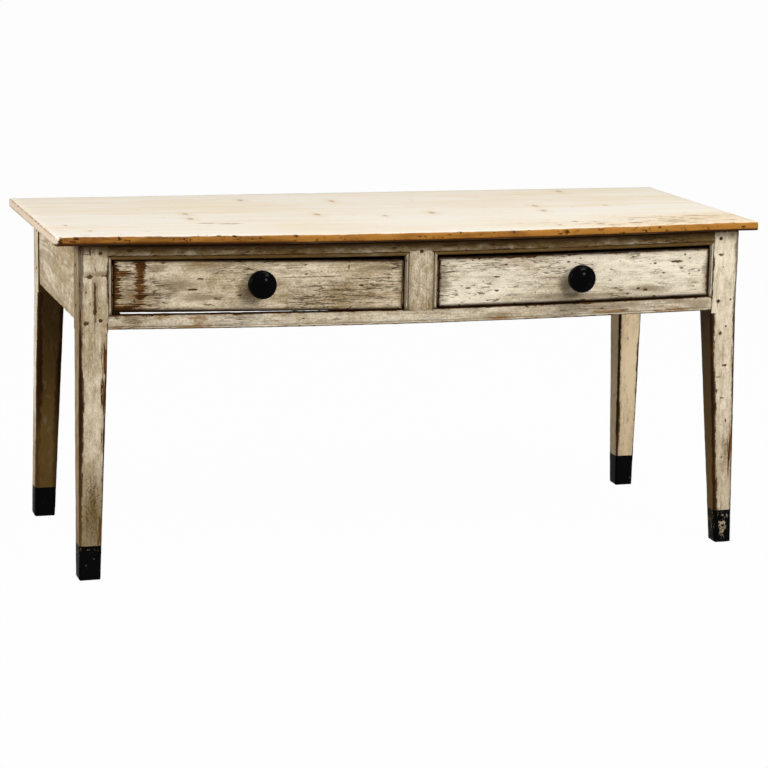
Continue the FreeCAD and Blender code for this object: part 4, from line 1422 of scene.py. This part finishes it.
class PREPTABLE_OT_rails(Operator):
    """Make the rails and the muntin round the drawers"""

    bl_idname = "prep_table.rails"
    bl_label = "Rails and Muntin"

    def execute(self, context):
        sizes = context.scene.table_sizes
        arris = 1.2 * MM
        rail_faces = (8 * MM, 12 * MM, 9 * MM)
        muntin_faces = (10 * MM, 11 * MM, 8 * MM)
        low, high = between_legs("front_top_rail", sizes)
        rail = make_board("front_top_rail_worn", low, high, rail_faces, sizes, arris)
        # The rail's brown stain is partly dirt and partly painted shadow of the top's overhang, and its
        # darkening under the top is painted shade
        look = PaintLook(
            X, 31.0, tone=0.66, stain=0.39, dashes=0.95, pits=0.2, shade_top=0.92, marks=TOP_RAIL_MARKS,
        )
        paint_piece(rail, "front_top_rail", look, context)

        muntin_low, muntin_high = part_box("front_muntin")
        muntin_low.z, muntin_high.z = RAIL_TOP - JOINT, low.z + JOINT
        muntin = make_board("front_muntin_worn", muntin_low, muntin_high, muntin_faces, sizes, arris)
        look = PaintLook(Z, 32.0, tone=0.66, crackle=0.2, dashes=0.45)
        paint_piece(muntin, "front_muntin", look, context)

        look = PaintLook(
            X, 33.0, tone=0.28, crackle=0.4, hidden_wear=0.5, scuffs=BOTTOM_RAIL_SCUFFS,
            smudges_and_shadows=BOTTOM_RAIL_SMUDGES_AND_SHADE,
        )
        paint_piece(self.bottom_rail(sizes), "front_bottom_rail", look, context)
        return {"FINISHED"}

    def bottom_rail(self, sizes):
        """A rail with a bead along its lower front edge, set off by a narrow groove."""
        bead = 6 * MM
        groove = 2 * MM
        face_length = 8 * MM
        bead_round = 2.6 * MM
        arris = 1.2 * MM
        low, high = between_legs("front_bottom_rail", sizes)
        piece = block("front_bottom_rail_worn", low, high)
        saw(Z, low.z + bead, low.z + bead + groove, (low.z + bead + groove + high.z) / 2)

        def groove_face(face):
            level = face.calc_center_median().z - low.z
            return face.normal.y < -STRAIGHT_SHARE and bead < level < bead + groove

        pick(piece, "FACE", groove_face)
        extrude_back(groove)
        divide(piece, X, face_length)

        def bead_edge(edge):
            place = edge_middle(edge)
            return runs_along(edge, X) and place.z < low.z + bead + MM and place.y < low.y + MM

        ease(piece, bead_round, 3, bead_edge)
        ease(piece, arris, 2, lambda edge: edge_middle(edge).z > high.z - MM)
        close_edit()
        depths = box_depths(points_of(piece), low, high)
        keep_hidden_side(piece, depths[:, UPPER_FACE])
        weather(piece, depths, sizes)
        bow(piece)
        return piece


def knob_rings(radius, projection, start):
    """Radii of a knob's rings and their distances from the drawer: spigot, collar, neck, bun and crown."""
    spigot = 10 * MM
    collar, collar_end = 20 * MM, 4 * MM
    neck, neck_end = 14.5 * MM, 10 * MM
    bun_start, bun_end = 25 * MM, 34 * MM
    crown, crown_rise = 24 * MM, 6.5 * MM
    steps = 9
    turns = [number / steps * math.pi / 2 for number in range(steps + 1)]
    rings = [(spigot, start), (spigot, 0.0)]
    rings += [(collar - MM, 0.0), (collar, MM), (collar, collar_end - MM), (collar - MM, collar_end)]
    rings += [(neck + MM, collar_end + 1.5 * MM), (neck, collar_end + 4 * MM)]
    for turn in turns:
        width = neck + (radius - neck) * math.sin(turn)
        rings.append((width, bun_start - (bun_start - neck_end) * math.cos(turn)))
    for turn in turns[1:]:
        width = crown + (radius - crown) * math.cos(turn)
        rings.append((width, bun_end + (projection - crown_rise - bun_end) * math.sin(turn)))
    for number in range(1, steps):
        share = 1.0 - number / steps
        rings.append((crown * share, projection - crown_rise * share * share))
    return rings


class PREPTABLE_OT_drawers(Operator):
    """Make the drawer fronts with their knobs, and finish the boxes behind them"""

    bl_idname = "prep_table.drawers"
    bl_label = "Drawers and Knobs"

    def execute(self, context):
        sizes = context.scene.table_sizes
        colours = context.scene.table_colours
        knob_finish = gloss_black(colours)
        across = raw_pine("drawer_pine_across", X, 51.0, colours)
        along = raw_pine("drawer_pine_along", Y, 52.0, colours)
        boards = {
            "left_side": along, "right_side": along, "back": across,
            "bottom_front": across, "bottom_rear": across, "knob_wedge": across,
        }
        for drawer, look in self.looks().items():
            front = self.front(drawer, sizes)
            knob = self.knob(drawer)
            if drawer == "left_drawer":
                self.lean(front, sizes)
                self.lean(knob, sizes)
            paint_piece(front, drawer + "_front", look, context, drawer)
            finish_piece(knob, knob_finish, drawer + "_knob", drawer)
            for part, material in boards.items():
                carry(f"{drawer}_{part}", material, drawer)
            carry(drawer + "_nails", old_iron(colours), drawer, IRON_ARRIS)
        return {"FINISHED"}

    def looks(self):
        """The paint of each drawer front."""
        return {
            "left_drawer": PaintLook(
                X, 41.0, tone=0.40, warmth=0.25, edge_stain=0.6, crackle=0.75, dashes=0.8, pits=0.14,
                arris_grime_and_shade=1.0, line_reach=0.0068, hidden_grime_and_shadow=1.0, cracked=LEFT_DRAWER_CRACKED,
                patches=LEFT_DRAWER_PATCHES, scuffs=LEFT_DRAWER_SCUFFS, marks=LEFT_DRAWER_MARKS,
                smudges_and_shadows=LEFT_DRAWER_SMUDGES_AND_SHADOW,
            ),
            "right_drawer": PaintLook(
                X, 42.0, tone=0.15, crackle=0.6, dashes=0.85, pits=0.19, arris_grime_and_shade=1.0, line_reach=0.0085,
                edge_wear=0.17, edge_reach=0.010, hidden_grime_and_shadow=0.8, marks=RIGHT_DRAWER_MARKS,
                smudges_and_shadows=RIGHT_DRAWER_SMUDGES_AND_SHADOW,
            ),
        }

    def front(self, drawer, sizes):
        """A board with eased corners, a hair narrower than its solid, so that the dovetails show."""
        shown = 1.2 * MM
        corner_room = 9 * MM
        corner_round = 3.5 * MM
        face_length, face_height = 7 * MM, 8 * MM
        front_arris, rear_arris = 2.2 * MM, 0.8 * MM
        low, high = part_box(drawer + "_front")
        low.x += shown
        high.x -= shown
        low.z = RAIL_TOP + (sizes.left_clearance if drawer == "left_drawer" else sizes.right_clearance)
        piece = block(drawer + "_front_worn", low, high)
        saw(X, low.x + corner_room, high.x - corner_room)
        saw(Z, low.z + corner_room, high.z - corner_room)

        def corner(edge):
            place = edge_middle(edge)
            ends = min(place.x - low.x, high.x - place.x)
            levels = min(place.z - low.z, high.z - place.z)
            return runs_along(edge, Y) and max(ends, levels) < MM

        ease(piece, corner_round, 3, corner)
        divide(piece, X, face_length, low.x + corner_room, high.x - corner_room)
        divide(piece, Z, face_height, low.z + corner_room, high.z - corner_room)
        ease(piece, front_arris, 3, lambda edge: edge_middle(edge).y < low.y + MM)
        ease(piece, rear_arris, 2, lambda edge: edge_middle(edge).y > high.y - MM)
        close_edit()
        depths = box_depths(points_of(piece), low, high)
        # The lowest 3 mm of the front are marked, so that dark dirt and painted shadow line the gap under it
        keep_hidden_side(piece, depths[:, LOWER_FACE], 3 * MM)
        weather(piece, depths, sizes)
        bow(piece)
        return piece

    def knob(self, drawer):
        """Rings drawn out and scaled one after another along the knob's axis."""
        sides = 64
        past_spigot = 0.3 * MM
        low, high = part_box(drawer + "_knob")
        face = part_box(drawer + "_front")[0].y
        axis = Vector(((low.x + high.x) / 2, face, (low.z + high.z) / 2)) + KNOB_SHIFTS[drawer]
        projection = face - low.y
        rings = knob_rings((high.x - low.x) / 2, projection, face - high.y - past_spigot)
        radius, at = rings[0]
        bpy.ops.object.select_all(action="DESELECT")
        bpy.ops.mesh.primitive_circle_add(
            vertices=sides, radius=radius, fill_type="NGON", rotation=(math.pi / 2, 0, 0),
            location=axis - Vector((0, at, 0)),
        )
        piece = bpy.context.object
        piece.name = drawer + "_knob_turned"
        bpy.ops.object.transform_apply(location=True, rotation=True, scale=True)
        open_edit(piece)
        bpy.ops.mesh.select_all(action="SELECT")
        for next_radius, distance in rings[1:]:
            extrude_back(at - distance)
            share = next_radius / radius
            centre = (axis.x, axis.y - distance, axis.z)
            bpy.ops.transform.resize(value=(share, 1.0, share), center_override=centre)
            radius, at = next_radius, distance
        extrude_back(at - projection)
        bpy.ops.mesh.merge(type="CENTER")
        bpy.ops.mesh.select_all(action="SELECT")
        bpy.ops.mesh.normals_make_consistent(inside=False)
        close_edit()
        roughen(piece, HAND_WEAR, 0.3 * MM)
        bow(piece)
        return piece

    def lean(self, piece, sizes):
        """Lifts and tips a piece of the left drawer's front; its underside is planed partly level again."""
        planed_share = 0.6
        least_area = 1e-4
        low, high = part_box("left_drawer_front")
        middle = (low + high) / 2
        open_edit(piece)
        bpy.ops.mesh.select_all(action="SELECT")
        bpy.ops.transform.rotate(value=-sizes.left_front_tilt, orient_axis="Y", center_override=middle)
        bpy.ops.transform.translate(value=(0, 0, sizes.left_front_lift))

        def underside(face):
            return face.normal.z < -STRAIGHT_SHARE and face.calc_area() > least_area

        if pick(piece, "FACE", underside):
            back = planed_share * sizes.left_front_tilt
            bpy.ops.transform.rotate(value=back, orient_axis="Y", center_override=middle)
        close_edit()


def carry(node, material, body, arris=0.8 * MM):
    """Carries a solid over into the scene: its edges softened, sunk with the front, and finished."""
    piece = copy_of(node, node + "_finished")
    close_edit()
    soften(piece, arris)
    keep_arris(piece, box_depths(points_of(piece), *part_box(node)))
    bow(piece)
    return finish_piece(piece, material, node, body)


class PREPTABLE_OT_beads(Operator):
    """Make the half-round beads round the drawer openings"""

    bl_idname = "prep_table.beads"
    bl_label = "Drawer Beads"

    def execute(self, context):
        colours = context.scene.table_colours
        shared = {"seed": 61.0, "edge_reach": 0.003, "edge_wear": 0.12, "crackle": 0.3}
        upright_paint = cream_paint("upright_bead_paint", PaintLook(Z, arris_grime_and_shade=0.7, **shared), colours)
        # The top beads' brown stain is partly dirt and partly painted shade under the top rail
        top_paint = cream_paint("top_bead_paint", PaintLook(X, arris_grime_and_shade=0.3, stain=0.66, **shared), colours)
        for side in ("left", "right"):
            for place in ("outer", "inner"):
                self.bead(f"{side}_{place}_bead", Z, 10 * MM, upright_paint)
            self.bead(f"{side}_top_bead", X, 12 * MM, top_paint)
        return {"FINISHED"}

    def bead(self, node, along, spacing, material):
        """A copy of a bead's solid, cut into short lengths and worn."""
        low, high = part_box(node)
        length = high[along] - low[along]
        count = round(length / spacing)
        piece = copy_of(node, node + "_worn")
        saw(along, *(low[along] + length * number / count for number in range(1, count)))
        close_edit()
        soften(piece, 0.4 * MM)
        keep_arris(piece, box_depths(points_of(piece), low, high))
        roughen(piece, HAND_WEAR, 0.5 * MM)
        bow(piece)
        finish_piece(piece, material, node, "frame")


class PREPTABLE_OT_inside(Operator):
    """Finish the pegs, the drawer carriage and what holds the top down"""

    bl_idname = "prep_table.inside"
    bl_label = "Pegs and Inner Parts"

    def execute(self, context):
        colours = context.scene.table_colours
        pegs = carry("frame_pegs", dark_peg(colours), "frame", PEG_ARRIS)
        low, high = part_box("frame_pegs")
        share = 1.0 - 2 * context.scene.table_sizes.peg_shift / (high.z - low.z)
        open_edit(pegs)
        bpy.ops.mesh.select_all(action="SELECT")
        bpy.ops.transform.resize(value=(1.0, 1.0, share), center_override=(low + high) / 2)
        close_edit()
        along = raw_pine("carriage_pine", Y, 71.0, colours)
        for place in ("left", "centre", "right"):
            for part in ("runner", "guide", "kicker"):
                carry(f"{place}_{part}", along, "frame")
        across = raw_pine("block_pine", X, 72.0, colours)
        carry("drawer_stops", across, "frame")
        carry("glue_blocks", across, "frame")
        carry("top_screws", old_iron(colours), "frame", IRON_ARRIS)
        return {"FINISHED"}


class PREPTABLE_OT_stage(Operator):
    """Make the floor, the lamps, the sky and the camera"""

    bl_idname = "prep_table.stage"
    bl_label = "Stage"

    def execute(self, context):
        stage = context.scene.table_stage
        context.scene.view_settings.view_transform = "Standard"
        self.floor(stage)
        self.sky(context, stage)
        self.lamp("key_lamp", stage.key_place, KEY_SIZE, stage.key_power, stage.lamp_aim)
        self.lamp("front_lamp", stage.front_place, FRONT_SIZE, stage.front_power, stage.lamp_aim)
        self.lamp("fill_lamp", stage.fill_place, FILL_SIZE, stage.fill_power, stage.lamp_aim)
        self.camera(context, stage)
        return {"FINISHED"}

    def floor(self, stage):
        """A pale floor that shows white and keeps the table's shadow."""
        bpy.ops.object.select_all(action="DESELECT")
        bpy.ops.mesh.primitive_plane_add(size=stage.floor_size)
        floor = bpy.context.object
        floor.name = "studio_floor"
        surface = Finish("studio_floor")
        diffuse = surface.node("ShaderNodeBsdfDiffuse", None, {"Color": FLOOR_GREY})
        white = surface.node("ShaderNodeEmission", None, {"Color": WHITE, "Strength": 1.0})
        share = surface.background_share() * FLOOR_WHITENESS
        mixed = surface.node("ShaderNodeMixShader", None, {0: share, 1: diffuse, 2: white})
        surface.node("ShaderNodeOutputMaterial", None, {"Surface": mixed})
        floor.data.materials.append(surface.material)

    def sky(self, context, stage):
        """White where it is seen, and a faint light from all round."""
        world = bpy.data.worlds.new("studio_sky")
        world.use_nodes = True
        context.scene.world = world
        sky = Shader(world.node_tree)
        levels = {"Value": sky.background_share(), "To Min": stage.sky, "To Max": 1.0}
        strength = sky.node("ShaderNodeMapRange", None, levels)
        background = sky.node("ShaderNodeBackground", None, {"Color": WHITE, "Strength": strength})
        sky.node("ShaderNodeOutputWorld", None, {"Surface": background})

    def lamp(self, name, place, size, power, aim):
        """A flat lamp of this width and height that points at a place."""
        bpy.ops.object.light_add(type="AREA", location=place)
        lamp = bpy.context.object
        lamp.name = name
        lamp.rotation_euler = (Vector(aim) - Vector(place)).to_track_quat("-Z", "Y").to_euler()
        lamp.data.shape = "RECTANGLE"
        lamp.data.size, lamp.data.size_y = size
        lamp.data.energy = power

    def camera(self, context, stage):
        """The camera, turned, tipped down and rolled in that order."""
        bpy.ops.object.camera_add(location=stage.camera_place)
        camera = context.object
        turn = Matrix.Rotation(-stage.camera_yaw, 4, "Z")
        turn @= Matrix.Rotation(math.pi / 2 - stage.camera_pitch, 4, "X")
        turn @= Matrix.Rotation(stage.camera_roll, 4, "Z")
        camera.rotation_euler = turn.to_euler()
        camera.data.lens = stage.lens
        camera.data.sensor_width = SENSOR_WIDTH
        camera.data.clip_end = 2 * stage.floor_size
        context.scene.camera = camera


class PREPTABLE_PT_sidebar(Panel):
    """Lists the operators, sizes and colours of the prep table"""

    bl_idname = "PREPTABLE_PT_sidebar"
    bl_label = "Prep Table"
    bl_space_type = "VIEW_3D"
    bl_region_type = "UI"
    bl_category = "Prep Table"

    def draw(self, context):
        for maker in MAKERS:
            self.layout.operator(maker.bl_idname)
        for group in (context.scene.table_sizes, context.scene.table_colours, context.scene.table_stage):
            for name in group.__annotations__:
                self.layout.prop(group, name)


MAKERS = (
    PREPTABLE_OT_bow, PREPTABLE_OT_top, PREPTABLE_OT_legs, PREPTABLE_OT_aprons, PREPTABLE_OT_rails,
    PREPTABLE_OT_beads, PREPTABLE_OT_drawers, PREPTABLE_OT_inside, PREPTABLE_OT_stage,
)
CLASSES = (TableSizes, TableColours, TableStage, *MAKERS, PREPTABLE_PT_sidebar)


def register():
    for known in CLASSES:
        bpy.utils.register_class(known)
    bpy.types.Scene.table_sizes = PointerProperty(type=TableSizes)
    bpy.types.Scene.table_colours = PointerProperty(type=TableColours)
    bpy.types.Scene.table_stage = PointerProperty(type=TableStage)


def unregister():
    del bpy.types.Scene.table_stage
    del bpy.types.Scene.table_colours
    del bpy.types.Scene.table_sizes
    for known in reversed(CLASSES):
        bpy.utils.unregister_class(known)


def main():
    register()
    bpy.ops.prep_table.bow()
    bpy.ops.prep_table.top()
    bpy.ops.prep_table.legs()
    bpy.ops.prep_table.aprons()
    bpy.ops.prep_table.rails()
    bpy.ops.prep_table.beads()
    bpy.ops.prep_table.drawers()
    bpy.ops.prep_table.inside()
    bpy.ops.prep_table.stage()
    bpy.data.objects.remove(bpy.data.objects[BOW])


if __name__ == "__main__":
    main()
